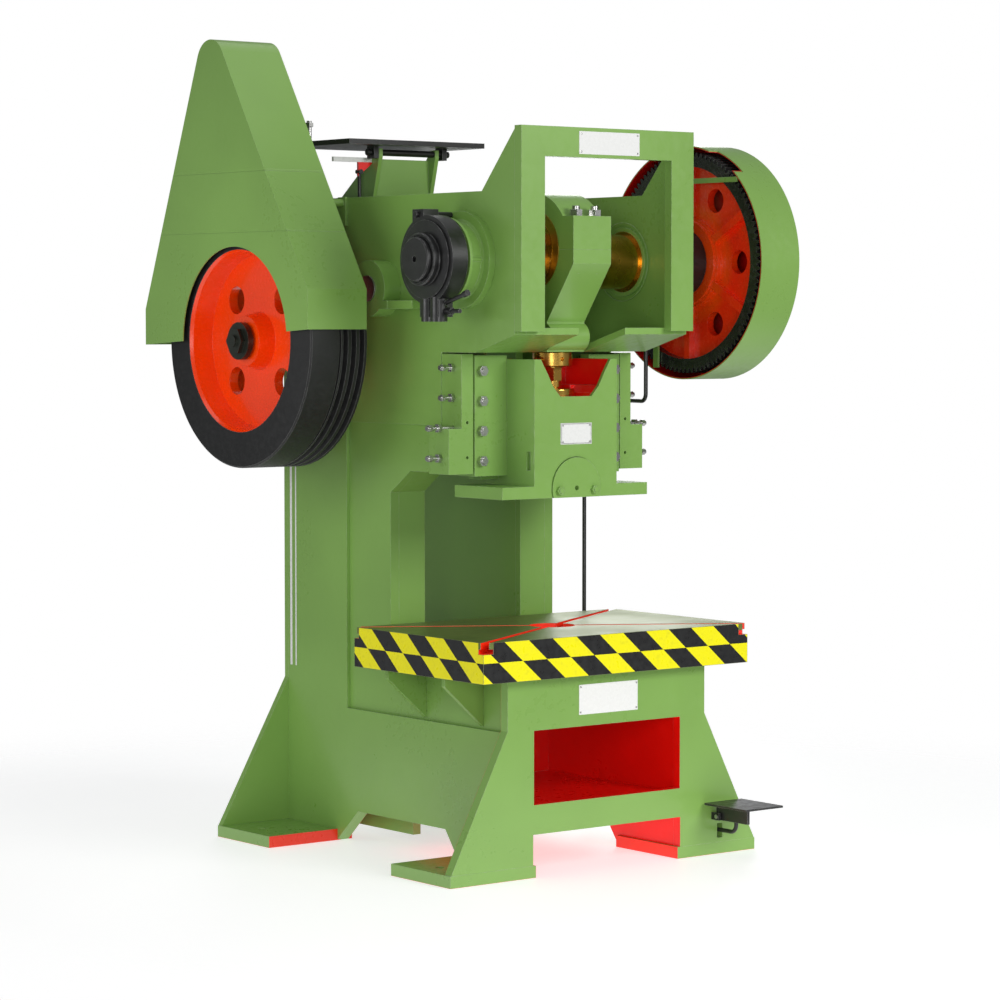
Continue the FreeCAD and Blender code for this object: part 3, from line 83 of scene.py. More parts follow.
# ---------------------------------------------------------------- material nodes
class Surface:
    """A material whose nodes are written as short calls."""

    def __init__(self, name, roughness=0.35, metallic=0.0, coat=0.0, coat_roughness=0.1):
        self.material = bpy.data.materials.new(name)
        self.material.use_nodes = True
        self.tree = self.material.node_tree
        self.shader = self.tree.nodes["Principled BSDF"]
        self.shader.inputs["Roughness"].default_value = roughness
        self.shader.inputs["Metallic"].default_value = metallic
        self.shader.inputs["Coat Weight"].default_value = coat
        self.shader.inputs["Coat Roughness"].default_value = coat_roughness
        coordinates = self.tree.nodes.new("ShaderNodeTexCoord")
        self.place = coordinates.outputs["Object"]
        split = self.tree.nodes.new("ShaderNodeSeparateXYZ")
        self.tree.links.new(self.place, split.inputs[0])
        self.x, self.y, self.z = split.outputs

    def put(self, socket, value):
        if isinstance(value, bpy.types.NodeSocket):
            self.tree.links.new(value, socket)
        elif isinstance(value, tuple):
            socket.default_value = (*value, 1.0)
        else:
            socket.default_value = value

    def math(self, operation, *values):
        node = self.tree.nodes.new("ShaderNodeMath")
        node.operation = operation
        for socket, value in zip(node.inputs, values):
            self.put(socket, value)
        return node.outputs[0]

    def smooth(self, value, low, high, start=0.0, end=1.0):
        """start below low, end above high, and a smooth step between."""
        node = self.tree.nodes.new("ShaderNodeMapRange")
        node.interpolation_type = "SMOOTHSTEP"
        node.inputs["From Min"].default_value = low
        node.inputs["From Max"].default_value = high
        node.inputs["To Min"].default_value = start
        node.inputs["To Max"].default_value = end
        self.put(node.inputs["Value"], value)
        return node.outputs["Result"]

    def mix(self, factor, first, second):
        node = self.tree.nodes.new("ShaderNodeMix")
        node.data_type = "RGBA"
        self.put(node.inputs["Factor"], factor)
        self.put(node.inputs["A"], first)
        self.put(node.inputs["B"], second)
        return node.outputs["Result"]

    def noise(self, scale, detail=4.0, stretch=(1.0, 1.0, 1.0)):
        mapping = self.tree.nodes.new("ShaderNodeMapping")
        mapping.inputs["Scale"].default_value = stretch
        self.put(mapping.inputs["Vector"], self.place)
        node = self.tree.nodes.new("ShaderNodeTexNoise")
        node.inputs["Scale"].default_value = scale
        node.inputs["Detail"].default_value = detail
        self.put(node.inputs["Vector"], mapping.outputs[0])
        return node.outputs["Fac"]

    def inside(self, *limits):
        """1 where every (value, low, high) holds."""
        result = 1.0
        for value, low, high in limits:
            above = self.math("GREATER_THAN", value, low)
            below = self.math("LESS_THAN", value, high)
            result = self.math("MULTIPLY", result, self.math("MULTIPLY", above, below))
        return result

    def distance(self, axis_point):
        """Distance from the line along X through axis_point."""
        across = self.math("SUBTRACT", self.y, axis_point.y)
        up = self.math("SUBTRACT", self.z, axis_point.z)
        return self.length(across, up)

    def length(self, first, second):
        squares = self.math("ADD", self.math("MULTIPLY", first, first),
                            self.math("MULTIPLY", second, second))
        return self.math("SQRT", squares)

    def relief(self, height, depth, edge=2.5 * MM):
        """Bump of that depth over edges rounded by edge. Returns how near a point is to an edge."""
        bevel = self.tree.nodes.new("ShaderNodeBevel")
        bevel.samples = 4
        bevel.inputs["Radius"].default_value = edge
        bump = self.tree.nodes.new("ShaderNodeBump")
        bump.inputs["Strength"].default_value = 1.0
        bump.inputs["Distance"].default_value = depth
        self.put(bump.inputs["Height"], height)
        self.tree.links.new(bevel.outputs[0], bump.inputs["Normal"])
        self.tree.links.new(bump.outputs[0], self.shader.inputs["Normal"])
        geometry = self.tree.nodes.new("ShaderNodeNewGeometry")
        dot = self.tree.nodes.new("ShaderNodeVectorMath")
        dot.operation = "DOT_PRODUCT"
        self.tree.links.new(bevel.outputs[0], dot.inputs[0])
        self.tree.links.new(geometry.outputs["Normal"], dot.inputs[1])
        return self.smooth(dot.outputs["Value"], 0.90, 0.995, 1.0, 0.0)

    def colour(self, value):
        self.put(self.shader.inputs["Base Color"], value)

    def rough(self, value):
        self.put(self.shader.inputs["Roughness"], value)


def shade(colour, factor):
    return tuple(min(1.0, channel * factor) for channel in colour)


def enamel_over(surface, colour, gloss, peel=0.05 * MM, extra_height=None, edge=2.5 * MM):
    """Sprayed machine enamel: cloudy colour, orange peel, handling marks, and edges mixed towards
    white as thin worn paint and painted highlight.
    """
    cloud = surface.noise(1.7, 3.0)
    fine = surface.noise(38.0, 5.0)
    peel_height = surface.noise(260.0, 2.0)
    if extra_height is not None:
        peel_height = surface.math("ADD", peel_height, extra_height)
    near_edge = surface.relief(peel_height, peel, edge)
    tint = surface.mix(surface.smooth(cloud, 0.3, 0.7), surface.mix(0.10, colour, BLACK)
                       if isinstance(colour, bpy.types.NodeSocket) else shade(colour, 0.90), colour)
    # Edges are mixed towards white: partly worn thin paint, partly a painted highlight along the
    # edges.
    wear_and_edge_highlight = surface.math("MULTIPLY", near_edge, surface.smooth(fine, 0.40, 0.60, 0.08, 0.30))
    surface.colour(surface.mix(wear_and_edge_highlight, tint, WHITE))
    marks = surface.smooth(fine, 0.35, 0.75, -0.05, 0.10)
    clouds = surface.smooth(cloud, 0.3, 0.7, -0.03, 0.04)
    surface.rough(surface.math("ADD", surface.math("ADD", marks, clouds), gloss))


def green_enamel():
    surface = Surface("green_enamel", coat=0.25, coat_roughness=0.12)
    enamel_over(surface, GREEN, 0.34)
    return surface.material


def red_enamel():
    surface = Surface("red_enamel", coat=0.3, coat_roughness=0.1)
    enamel_over(surface, RED, 0.32)
    return surface.material


def black_enamel():
    surface = Surface("black_enamel", coat=0.15, coat_roughness=0.25)
    enamel_over(surface, BLACK, 0.38, peel=0.09 * MM)
    return surface.material


def two_colour_enamel(name, first, second, limits, edge=2.5 * MM):
    """Enamel that changes colour inside any of the boxes in limits(surface)."""
    surface = Surface(name, coat=0.25, coat_roughness=0.12)
    mask = 0.0
    for each in limits(surface):
        mask = surface.math("MAXIMUM", mask, each)
    enamel_over(surface, surface.mix(mask, first, second), 0.34, edge=edge)
    return surface.material


def cheek_enamel():
    """Green plates with the base's inner side painted red."""
    bed_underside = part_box("bolster")[0].z
    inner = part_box("right_cheek")[0].x + 0.5 * MM

    def limits(surface):
        width = surface.math("ABSOLUTE", surface.x)
        return [surface.inside((width, -1, inner), (surface.z, -1, bed_underside - MM))]

    return two_colour_enamel("green_enamel_red_inside", GREEN, RED, limits)


def base_plate_enamel():
    """The base's front plate: red on its back and on the cut edges of its openings."""
    low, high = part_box("base_front_plate")
    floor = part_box("foot_plates")[0].z
    window_half = 356 * MM
    window_top = 546.2 * MM
    front = low.y + 0.6 * MM

    def limits(surface):
        width = surface.math("ABSOLUTE", surface.x)
        behind = surface.inside((surface.y, high.y - 0.5 * MM, 9))
        cut = surface.inside((width, -1, window_half + 3 * MM), (surface.y, front, 9),
                             (surface.z, floor - 1, window_top))
        return [behind, cut]

    return two_colour_enamel("base_plate_enamel", GREEN, RED, limits)


def foot_enamel():
    """Green feet with red sides where they face each other, and a red front on the back feet."""
    inner = (345 + 0.5) * MM
    rear_foot = (835 + 0.5) * MM

    def limits(surface):
        width = surface.math("ABSOLUTE", surface.x)
        return [surface.inside((width, -1, inner)), surface.inside((surface.z, -1, 0.5 * MM)),
                surface.inside((surface.y, rear_foot - 2 * MM, rear_foot))]

    return two_colour_enamel("foot_enamel", GREEN, GEAR_RED, limits)


def ram_enamel():
    """Green ram with a red pocket behind its front notch."""
    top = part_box("ram")[1].z - 0.5 * MM
    pocket_half_width = 169.5 * MM
    pocket_half_depth = 128.2 * MM
    pocket_floor = 1550 * MM

    def limits(surface):
        width = surface.math("ABSOLUTE", surface.x)
        depth = surface.math("ABSOLUTE", surface.y)
        return [surface.inside((width, -1, pocket_half_width), (depth, -1, pocket_half_depth),
                               (surface.z, pocket_floor, top))]

    return two_colour_enamel("ram_enamel", GREEN, RED, limits)


def gear_guard_enamel():
    """Green outside and red inside, the inside red darkened as painted shade."""
    closed_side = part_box("gear_guard")[1].x - 3 * MM
    inner_radius = 452.5 * MM

    def limits(surface):
        radius = surface.distance(CRANK_AXIS)
        return [surface.inside((radius, -1, inner_radius), (surface.x, -9, closed_side))]

    # The inside red is a 0.7 darker copy of the red paint: painted shade inside the guard.
    return two_colour_enamel("gear_guard_enamel", GREEN, shade(RED, 0.7), limits, edge=1.0 * MM)


def belt_guard_enamel():
    """Green sheet with two faint lap seams."""
    surface = Surface("belt_guard_enamel", coat=0.25, coat_roughness=0.12)
    low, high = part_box("belt_guard")
    seams = 0.0
    for share in (0.37, 0.565):
        height = low.z + share * (high.z - low.z)
        distance = surface.math("ABSOLUTE", surface.math("SUBTRACT", surface.z, height))
        seams = surface.math("MAXIMUM", seams, surface.smooth(distance, 1.5 * MM, 5 * MM, 1.0, 0.0))
    seam_height = surface.math("MULTIPLY", seams, -30.0)
    enamel_over(surface, GREEN, 0.34, extra_height=seam_height, edge=1.0 * MM)
    return surface.material


def flywheel_paint():
    """Orange disc in a black rim; the rim's outside is bare black iron."""
    surface = Surface("flywheel_paint", coat_roughness=0.06)
    radius = surface.distance(FLYWHEEL_AXIS)
    disc_radius = 351.2 * MM
    disc = surface.math("LESS_THAN", radius, disc_radius)
    cloud = surface.noise(3.0, 3.0)
    fine = surface.noise(60.0, 5.0)
    rings = surface.tree.nodes.new("ShaderNodeTexNoise")
    rings.noise_dimensions = "1D"
    rings.inputs["Scale"].default_value = 420.0
    surface.put(rings.inputs["W"], surface.math("ADD", radius, surface.x))
    height = surface.math("MULTIPLY", rings.outputs["Fac"], surface.math("SUBTRACT", 1.0, disc))
    edge = surface.relief(surface.math("ADD", height, surface.noise(240.0, 2.0)), 0.06 * MM)
    orange = surface.mix(surface.smooth(cloud, 0.35, 0.7), shade(ORANGE, 0.9), ORANGE)
    black = surface.mix(surface.smooth(fine, 0.4, 0.7), TYRE_BLACK, shade(TYRE_BLACK, 1.9))
    black = surface.mix(surface.math("MULTIPLY", edge, 0.25), black, STEEL)
    surface.colour(surface.mix(disc, black, orange))
    iron_roughness = surface.smooth(fine, 0.3, 0.8, 0.50, 0.64)
    surface.rough(surface.math("ADD", surface.math("MULTIPLY", disc, -0.30), iron_roughness))
    surface.put(surface.shader.inputs["Coat Weight"], surface.math("MULTIPLY", disc, 0.4))
    return surface.material


def crank_gear_paint():
    """Red web with a black, greased toothed rim."""
    surface = Surface("crank_gear_paint", coat=0.35, coat_roughness=0.07)
    radius = surface.distance(CRANK_AXIS)
    rim_radius = 375.5 * MM
    rim = surface.math("GREATER_THAN", radius, rim_radius)
    fine = surface.noise(50.0, 5.0)
    edge = surface.relief(surface.noise(200.0, 2.0), 0.06 * MM, edge=2 * MM)
    hub = surface.smooth(radius, 205 * MM, 255 * MM, 1.0, 0.0)
    red = surface.mix(hub, GEAR_RED, (1.0, 0.075, 0.002))
    red = surface.mix(surface.smooth(surface.noise(4.0, 3.0), 0.35, 0.7, 0.0, 0.12), red, BLACK)
    black = surface.mix(surface.smooth(fine, 0.4, 0.7), BLACK, shade(BLACK, 2.2))
    black = surface.mix(surface.math("MULTIPLY", edge, 0.12), black, STEEL)
    surface.colour(surface.mix(rim, red, black))
    surface.rough(surface.smooth(fine, 0.3, 0.8, 0.2, 0.34))
    return surface.material


def turned_metal(name, colour, roughness, pitch=900.0, along="x"):
    """Bare metal with fine turning marks across its axis, a little oil, and a painted highlight along
    its edges.
    """
    surface = Surface(name, metallic=1.0)
    marks = surface.tree.nodes.new("ShaderNodeTexNoise")
    marks.noise_dimensions = "1D"
    marks.inputs["Scale"].default_value = pitch
    marks.inputs["Detail"].default_value = 3.0
    surface.put(marks.inputs["W"], {"x": surface.x, "z": surface.z}[along])
    edge = surface.relief(marks.outputs["Fac"], 0.04 * MM, edge=1.5 * MM)
    film = surface.noise(9.0, 4.0)
    dark = surface.mix(surface.smooth(film, 0.35, 0.65), shade(colour, 0.62), colour)
    # Edges are mixed towards a lighter copy of the metal's own colour: a painted highlight along the
    # edges.
    surface.colour(surface.mix(surface.math("MULTIPLY", edge, 0.35), dark, shade(colour, 1.35)))
    surface.rough(surface.smooth(film, 0.3, 0.7, roughness + 0.12, roughness - 0.03))
    return surface.material


def bed_steel():
    """Ground bed: fine grinding lines and an oil film; the T-slots and the counterbore are red."""
    surface = Surface("bed_steel", coat=0.12, coat_roughness=0.3)
    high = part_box("bolster")[1]
    lines = surface.noise(130.0, 4.0, stretch=(0.03, 1.0, 1.0))
    film = surface.noise(2.6, 5.0)
    edge = surface.relief(lines, 0.05 * MM)
    steel = surface.mix(surface.smooth(lines, 0.3, 0.7), shade(BED_STEEL, 0.82),
                        shade(BED_STEEL, 1.12))
    steel = surface.mix(surface.smooth(film, 0.45, 0.75, 0.0, 0.4), steel, shade(BED_STEEL, 0.6))
    steel = surface.mix(surface.math("MULTIPLY", edge, 0.4), steel, STEEL)
    width = surface.math("ABSOLUTE", surface.x)
    depth = surface.math("ABSOLUTE", surface.y)
    slots = surface.inside((surface.z, high.z - SLOT_DEPTH, high.z - MM),
                           (width, -1, high.x - MM), (depth, -1, high.y - MM))
    surface.colour(surface.mix(slots, steel, GEAR_RED))
    bare = surface.math("SUBTRACT", 1.0, slots)
    surface.put(surface.shader.inputs["Metallic"], surface.math("MULTIPLY", bare, 0.55))
    surface.rough(surface.smooth(film, 0.35, 0.7, 0.5, 0.36))
    return surface.material


def hazard_tape(name, direction, start):
    """Yellow and black tape in two rows.

    direction and start say how far round the bed a point is.
    """
    surface = Surface(name, roughness=0.3, coat=0.3, coat_roughness=0.15)
    low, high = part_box("bolster")
    period = 0.224
    slant = 1.15
    sign = 1.0 if direction[0] == "+" else -1.0
    coordinate = {"x": surface.x, "y": surface.y}[direction[1]]
    along = surface.math("ADD", surface.math("MULTIPLY", coordinate, sign), start)
    drop = surface.math("SUBTRACT", high.z, surface.z)
    lower = surface.math("GREATER_THAN", drop, (high.z - low.z) / 2)
    phase = surface.math("SUBTRACT", along, surface.math("MULTIPLY", drop, slant))
    phase = surface.math("ADD", phase, surface.math("MULTIPLY", lower, period / 2))
    turn = surface.math("FRACT", surface.math("MULTIPLY", phase, 1 / period))
    black = surface.math("GREATER_THAN", turn, 0.5)
    dirt = surface.noise(45.0, 6.0)
    yellow = surface.mix(surface.smooth(dirt, 0.5, 0.78), YELLOW, shade(YELLOW, 0.86))
    surface.colour(surface.mix(black, yellow, shade(BLACK, 0.9)))
    surface.relief(surface.noise(90.0, 3.0), 0.08 * MM, edge=0.5 * MM)
    surface.rough(surface.smooth(dirt, 0.3, 0.7, 0.26, 0.42))
    return surface.material


def pedal_enamel():
    """Black tread plate: three ribs pressed into its inner half."""
    surface = Surface("pedal_enamel", coat=0.2, coat_roughness=0.2)
    low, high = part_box("pedal")
    ribs = 0.0
    for i in range(3):
        line = low.x + (0.14 + 0.11 * i) * (high.x - low.x)
        distance = surface.math("ABSOLUTE", surface.math("SUBTRACT", surface.x, line))
        ribs = surface.math("MAXIMUM", ribs, surface.smooth(distance, 0.0, 5 * MM, 1.0, 0.0))
    rib_height = surface.math("MULTIPLY", ribs, -22.0)
    enamel_over(surface, shade(BLACK, 1.4), 0.36, peel=0.1 * MM, extra_height=rib_height)
    return surface.material


def label_paint():
    """Bare white plate."""
    surface = Surface("label_paint", coat=0.4, coat_roughness=0.08)
    fine = surface.noise(70.0, 4.0)
    surface.relief(fine, 0.004 * MM, edge=0.5 * MM)
    surface.colour(surface.mix(surface.smooth(fine, 0.4, 0.8), WHITE, shade(WHITE, 0.97)))
    surface.rough(surface.smooth(fine, 0.3, 0.7, 0.22, 0.34))
    return surface.material


def white_stripe():
    surface = Surface("white_stripe", coat=0.2, coat_roughness=0.15)
    fine = surface.noise(60.0, 5.0)
    surface.relief(fine, 0.03 * MM, edge=0.3 * MM)
    surface.colour(surface.mix(surface.smooth(fine, 0.4, 0.8), WHITE, shade(WHITE, 0.85)))
    surface.rough(surface.smooth(fine, 0.3, 0.7, 0.3, 0.45))
    return surface.material


# ---------------------------------------------------------------- carried-over nodes
def dress(material, *nodes):
    for node in nodes:
        slots = frame["nodes"][node].data.materials
        slots.clear()
        slots.append(material)


MATERIALS = {"green": green_enamel(), "red": red_enamel(), "black": black_enamel(),
             "zinc": turned_metal("zinc_plate", (0.62, 0.62, 0.60), 0.24, 500.0),
             "brass": turned_metal("turned_brass", BRASS, 0.2, 900.0, "z"),
             "stripe": white_stripe()}


def dress_nodes():
    dress(MATERIALS["green"], "upper_side_skins", "lower_side_skins", "column_inner_plates",
          "column_closing_plates", "rear_plate", "frame_ribs", "head_frame", "head_soffit",
          "top_tie_plate", "crank_bearings", "shaft_bearings", "gibs", "gib_holders", "guard_brackets",
          "motor_bracket", "con_rod", "con_rod_cap", "tool_clamp", "tool_clamp_bolts")
    dress(cheek_enamel(), "left_cheek", "right_cheek")
    dress(base_plate_enamel(), "base_front_plate")
    dress(foot_enamel(), "foot_plates")
    dress(ram_enamel(), "ram")
    dress(gear_guard_enamel(), "gear_guard")
    dress(belt_guard_enamel(), "belt_guard")
    dress(MATERIALS["red"], "base_inner_plates")
    dress(MATERIALS["black"], "brake_band", "brake_drum", "drum_cap", "clutch_hub", "brake_bolts",
          "motor_plate", "motor_hinge_pin", "pedal_bracket", "trip_rod", "trip_lever")
    dress(pedal_enamel(), "pedal")
    dress(flywheel_paint(), "flywheel")
    dress(crank_gear_paint(), "bull_gear", "back_gear")
    dress(turned_metal("blackened_nut", (0.10, 0.11, 0.09), 0.34, 300.0), "flywheel_nut")
    dress(bed_steel(), "bolster")
    dress(MATERIALS["brass"], "lock_nut", "seat_cap", "ball_screw")
    dress(turned_metal("bronze_bush", BRASS, 0.26), "crank_bushes", "crankpin_bush")
    dress(turned_metal("oiled_journal", GOLD_STEEL, 0.2), "crankshaft")
    dress(turned_metal("ground_shaft", STEEL, 0.32), "back_shaft", "flywheel_shaft",
          "back_pinion", "flywheel_pinion")
    dress(MATERIALS["zinc"], "gib_bolts", "gib_set_screws", "con_rod_bolts", "motor_jack_bolt",
          "treadle_pins")
    dress(label_paint(), "frame_nameplates", "ram_nameplate")


# ---------------------------------------------------------------- mesh pieces
def finish_mesh(name, mesh_data, body, material, smooth_angle=None):
    """Turns a bmesh into a piece that rides on body."""
    bmesh.ops.recalc_face_normals(mesh_data, faces=mesh_data.faces)
    mesh = bpy.data.meshes.new(name)
    mesh_data.to_mesh(mesh)
    mesh_data.free()
    if smooth_angle is not None:
        mesh.shade_smooth()
        mesh.set_sharp_from_angle(angle=math.radians(smooth_angle))
    mesh.materials.append(material)
    piece = bpy.data.objects.new(name, mesh)
    bpy.context.scene.collection.objects.link(piece)
    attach(piece, body)
    return piece


def add_plate(mesh_data, outline, thickness):
    """Adds a closed plate: outline is a list of points, and thickness a vector."""
    bottom = [mesh_data.verts.new(point) for point in outline]
    face = mesh_data.faces.new(bottom)
    grown = bmesh.ops.extrude_face_region(mesh_data, geom=[face])
    top = [item for item in grown["geom"] if isinstance(item, bmesh.types.BMVert)]
    bmesh.ops.translate(mesh_data, verts=top, vec=thickness)


def build_hazard_tape():
    """Two rows of tape on each side of the bed, cut back where the T-slots come out."""
    low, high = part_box("bolster")
    lift = 0.4 * MM
    edge = 1.0 * MM
    side_notch, front_notch = 29 * MM, 46 * MM
    width = high.x - low.x
    depth = high.y - low.y
    along_x, along_y = Vector((1, 0, 0)), Vector((0, 1, 0))
    sides = {
        "left": ("-y", high.y, Vector((low.x, 0, 0)), along_y, depth, side_notch, along_x * -lift),
        "front": ("+x", depth - low.x, Vector((0, low.y, 0)), along_x, width, front_notch,
                  along_y * -lift),
        "right": ("+y", depth + width - low.y, Vector((high.x, 0, 0)), along_y, depth, side_notch,
                  along_x * lift),
        "back": ("-x", depth * 2 + width + high.x, Vector((0, high.y, 0)), along_x, width,
                 front_notch, along_y * lift)}
    for side, (direction, start, face, along, length, notch, thickness) in sides.items():
        half = length / 2 - edge
        profile = [(half, low.z + edge), (half, high.z - SLOT_DEPTH),
                   (half - notch, high.z - SLOT_DEPTH), (half - notch, high.z - edge)]
        points = profile + [(-a, z) for a, z in reversed(profile)]
        tape = bmesh.new()
        add_plate(tape, [face + along * a + Vector((0, 0, z)) for a, z in points], thickness)
        name = "hazard_tape_" + side
        finish_mesh(name, tape, "frame", hazard_tape(name, direction, start))


def add_turned(mesh_data, profile, centre, segments=72):
    """Adds the ring made by turning a closed (x, radius) profile about centre's X line."""
    points = [mesh_data.verts.new((x, centre.y, centre.z + radius)) for x, radius in profile]
    edges = [mesh_data.edges.new(pair) for pair in zip(points, points[1:] + points[:1])]
    bmesh.ops.spin(mesh_data, geom=points + edges, cent=centre, axis=(1, 0, 0), angle=math.tau,
                   steps=segments)
    bmesh.ops.remove_doubles(mesh_data, verts=mesh_data.verts, dist=0.001 * MM)


def add_rod(mesh_data, start, end, radius, segments=24):
    start, end = Vector(start), Vector(end)
    span = end - start
    turn = span.to_track_quat("Z", "Y").to_matrix().to_4x4()
    bmesh.ops.create_cone(mesh_data, cap_ends=True, segments=segments, radius1=radius,
                          radius2=radius, depth=span.length,
                          matrix=Matrix.Translation((start + end) / 2) @ turn)


def build_drum_boss():
    """Stepped boss with a groove and a centre hole over the end of the crankshaft."""
    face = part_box("brake_drum")[0].x
    steps = [(-1, 98), (18, 98), (21, 95), (21, 88), (16, 86), (16, 82), (36, 82), (40, 78),
             (40, 12), (28, 9), (-1, 9)]
    boss = bmesh.new()
    add_turned(boss, [(face - out * MM, radius * MM) for out, radius in steps], CRANK_AXIS)
    finish_mesh("drum_boss", boss, "crank", MATERIALS["black"], 35)


def build_brake_lever():
    """Round sockets over the band's lower lugs, and the lever that leans forward from them."""
    low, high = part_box("brake_band")
    x = (low.x + high.x) / 2
    lever = bmesh.new()
    socket_x = x - 10.5 * MM
    for y in (-46 * MM, 12 * MM):
        add_rod(lever, (socket_x, y, low.z - 17 * MM), (socket_x, y, low.z + 74 * MM), 31 * MM, 40)
    add_rod(lever, (x, -62 * MM, low.z + 48 * MM), (x, -196 * MM, low.z + 86 * MM), 8 * MM)
    add_rod(lever, (x, -184 * MM, low.z + 82.6 * MM), (x, -206 * MM, low.z + 88.8 * MM), 12 * MM)
    finish_mesh("brake_lever", lever, "frame", MATERIALS["black"], 35)


def build_bearing_rings():
    """Thin raised ring on each main bearing's inner face."""
    rings = bmesh.new()
    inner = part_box("right_cheek")[0].x - 14 * MM
    profile = ((1, 149), (-2, 149), (-3, 150.5), (-2, 152), (1, 152))
    for side in (-1, 1):
        add_turned(rings, [(side * (inner + out * MM), radius * MM) for out, radius in profile],
                   CRANK_AXIS)
    finish_mesh("bearing_rings", rings, "frame", MATERIALS["green"], 35)


def upright_plate(mesh_data, outline, y, thickness):
    """Adds a plate that faces forward: outline is (x, z) points."""
    add_plate(mesh_data, [Vector((x, y, z)) for x, z in outline], Vector((0, thickness, 0)))


def build_motor_rest():
    """Pale flat bar, red corner brace and black strut beside the motor bracket's left edge."""
    low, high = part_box("motor_bracket")
    y = 871 * MM
    thick = 12 * MM
    top = high.z - 36 * MM
    left, right, underside = low.x - 186 * MM, low.x + 8 * MM, top - 18 * MM
    bar = bmesh.new()
    upright_plate(bar, [(left, underside), (right, underside), (right, top), (left, top)], y, thick)
    finish_mesh("motor_rest_bar", bar, "frame", MATERIALS["stripe"])
    brace = bmesh.new()
    corner = low.x - 66 * MM
    upright_plate(brace, [(corner, top - 74 * MM), (right, top - 17 * MM), (corner, top - 17 * MM)],
                  y + MM, thick - 2 * MM)
    finish_mesh("motor_rest_brace", brace, "frame", MATERIALS["red"])
    strut = bmesh.new()
    x = low.x - 58 * MM
    bolt_z = top - 56 * MM
    middle = y + thick / 2
    add_rod(strut, (x, middle, low.z - 3 * MM), (x, middle, top - 50 * MM), 7 * MM)
    add_rod(strut, (x, y - 8 * MM, bolt_z), (x, y + 22 * MM, bolt_z), 10 * MM, 6)
    finish_mesh("motor_rest_strut", strut, "frame", MATERIALS["black"], 35)


def add_corner_screws(mesh_data, half_width, face_y, bottom, top):
    for side in (-1, 1):
        for z in (bottom + 9 * MM, top - 9 * MM):
            x = side * (half_width - 10 * MM)
            add_rod(mesh_data, (x, face_y + 0.5 * MM, z), (x, face_y - 1.0 * MM, z), 3.6 * MM, 20)
            add_rod(mesh_data, (x, face_y - 0.8 * MM, z), (x, face_y - 1.8 * MM, z), 2.4 * MM, 20)


def add_border(mesh_data, low, high):
    """Adds four thin strips just inside a plate's edges."""
    inset, wide = 2.5 * MM, 2.0 * MM
    back = low.y + 0.1 * MM
    middle = (low.z + high.z) / 2
    half_width = high.x - inset
    for side in (-1, 1):
        outer = side * half_width
        inner = side * (half_width - wide)
        upright_plate(mesh_data, [(outer, low.z + inset), (inner, low.z + inset),
                                  (inner, high.z - inset), (outer, high.z - inset)],
                      back, -0.7 * MM)
        outer = middle + side * ((high.z - low.z) / 2 - inset)
        inner = outer - side * wide
        upright_plate(mesh_data, [(-half_width, outer), (half_width, outer), (half_width, inner),
                                  (-half_width, inner)], back, -0.6 * MM)


def build_label_trim():
    """Round-headed screws in the corners of the bare plates, and a border on the ram's."""
    lower_height, upper_height = 112 * MM, 84 * MM
    low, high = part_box("frame_nameplates")
    trim = bmesh.new()
    add_corner_screws(trim, high.x, low.y, low.z, low.z + lower_height)
    add_corner_screws(trim, high.x, low.y, high.z - upper_height, high.z)
    finish_mesh("frame_nameplates_trim", trim, "frame", MATERIALS["zinc"], 35)
    low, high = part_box("ram_nameplate")
    trim = bmesh.new()
    add_corner_screws(trim, high.x, low.y, low.z, high.z)
    add_border(trim, low, high)
    finish_mesh("ram_nameplate_trim", trim, "slide", MATERIALS["zinc"], 35)


def build_stripes():
    """Two white lines up the rear of the left side."""
    low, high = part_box("lower_side_skins")
    stripes = bmesh.new()
    bottom, top = 670 * MM, 1500 * MM
    for y, half in ((high.y - 22 * MM, 7 * MM), (high.y - 55 * MM, 4 * MM)):
        corners = ((y - half, bottom), (y + half, bottom), (y + half, top), (y - half, top))
        add_plate(stripes, [Vector((low.x, a, z)) for a, z in corners], Vector((-0.3 * MM, 0, 0)))
    finish_mesh("side_stripes", stripes, "frame", MATERIALS["stripe"])


# ---------------------------------------------------------------- floor, light and camera
def build_stage():
    floor_radius = 16.0
    mesh = bmesh.new()
    bmesh.ops.create_circle(mesh, cap_ends=True, segments=96, radius=floor_radius)
    data = bpy.data.meshes.new("floor")
    mesh.to_mesh(data)
    mesh.free()
    floor = bpy.data.objects.new("floor", data)
    floor.location = (0, (cad_box[0][1] + cad_box[1][1]) / 2, -0.5 * MM)
    bpy.context.scene.collection.objects.link(floor)
    surface = Surface("pale_floor", roughness=0.5)
    surface.colour((0.62, 0.62, 0.62))
    surface.shader.inputs["Emission Color"].default_value = (1.0, 1.0, 1.0, 1.0)
    surface.shader.inputs["Emission Strength"].default_value = 0.6
    radius = surface.length(surface.x, surface.y)
    fade_start, fade_end = 1.9, 4.2
    clear = surface.tree.nodes.new("ShaderNodeBsdfTransparent")
    mix = surface.tree.nodes.new("ShaderNodeMixShader")
    surface.put(mix.inputs[0], surface.smooth(radius, fade_start, fade_end))
    surface.tree.links.new(surface.shader.outputs[0], mix.inputs[1])
    surface.tree.links.new(clear.outputs[0], mix.inputs[2])
    surface.tree.links.new(mix.outputs[0], surface.tree.nodes["Material Output"].inputs["Surface"])
    data.materials.append(surface.material)


def add_light(name, place, target, size, power, colour=(1.0, 1.0, 1.0)):
    light = bpy.data.lights.new(name, "AREA")
    light.shape = "RECTANGLE"
    light.size, light.size_y = size
    light.energy = power
    light.color = colour
    lamp = bpy.data.objects.new(name, light)
    lamp.location = place
    lamp.rotation_euler = (Vector(target) - Vector(place)).to_track_quat("-Z", "Y").to_euler()
    bpy.context.scene.collection.objects.link(lamp)


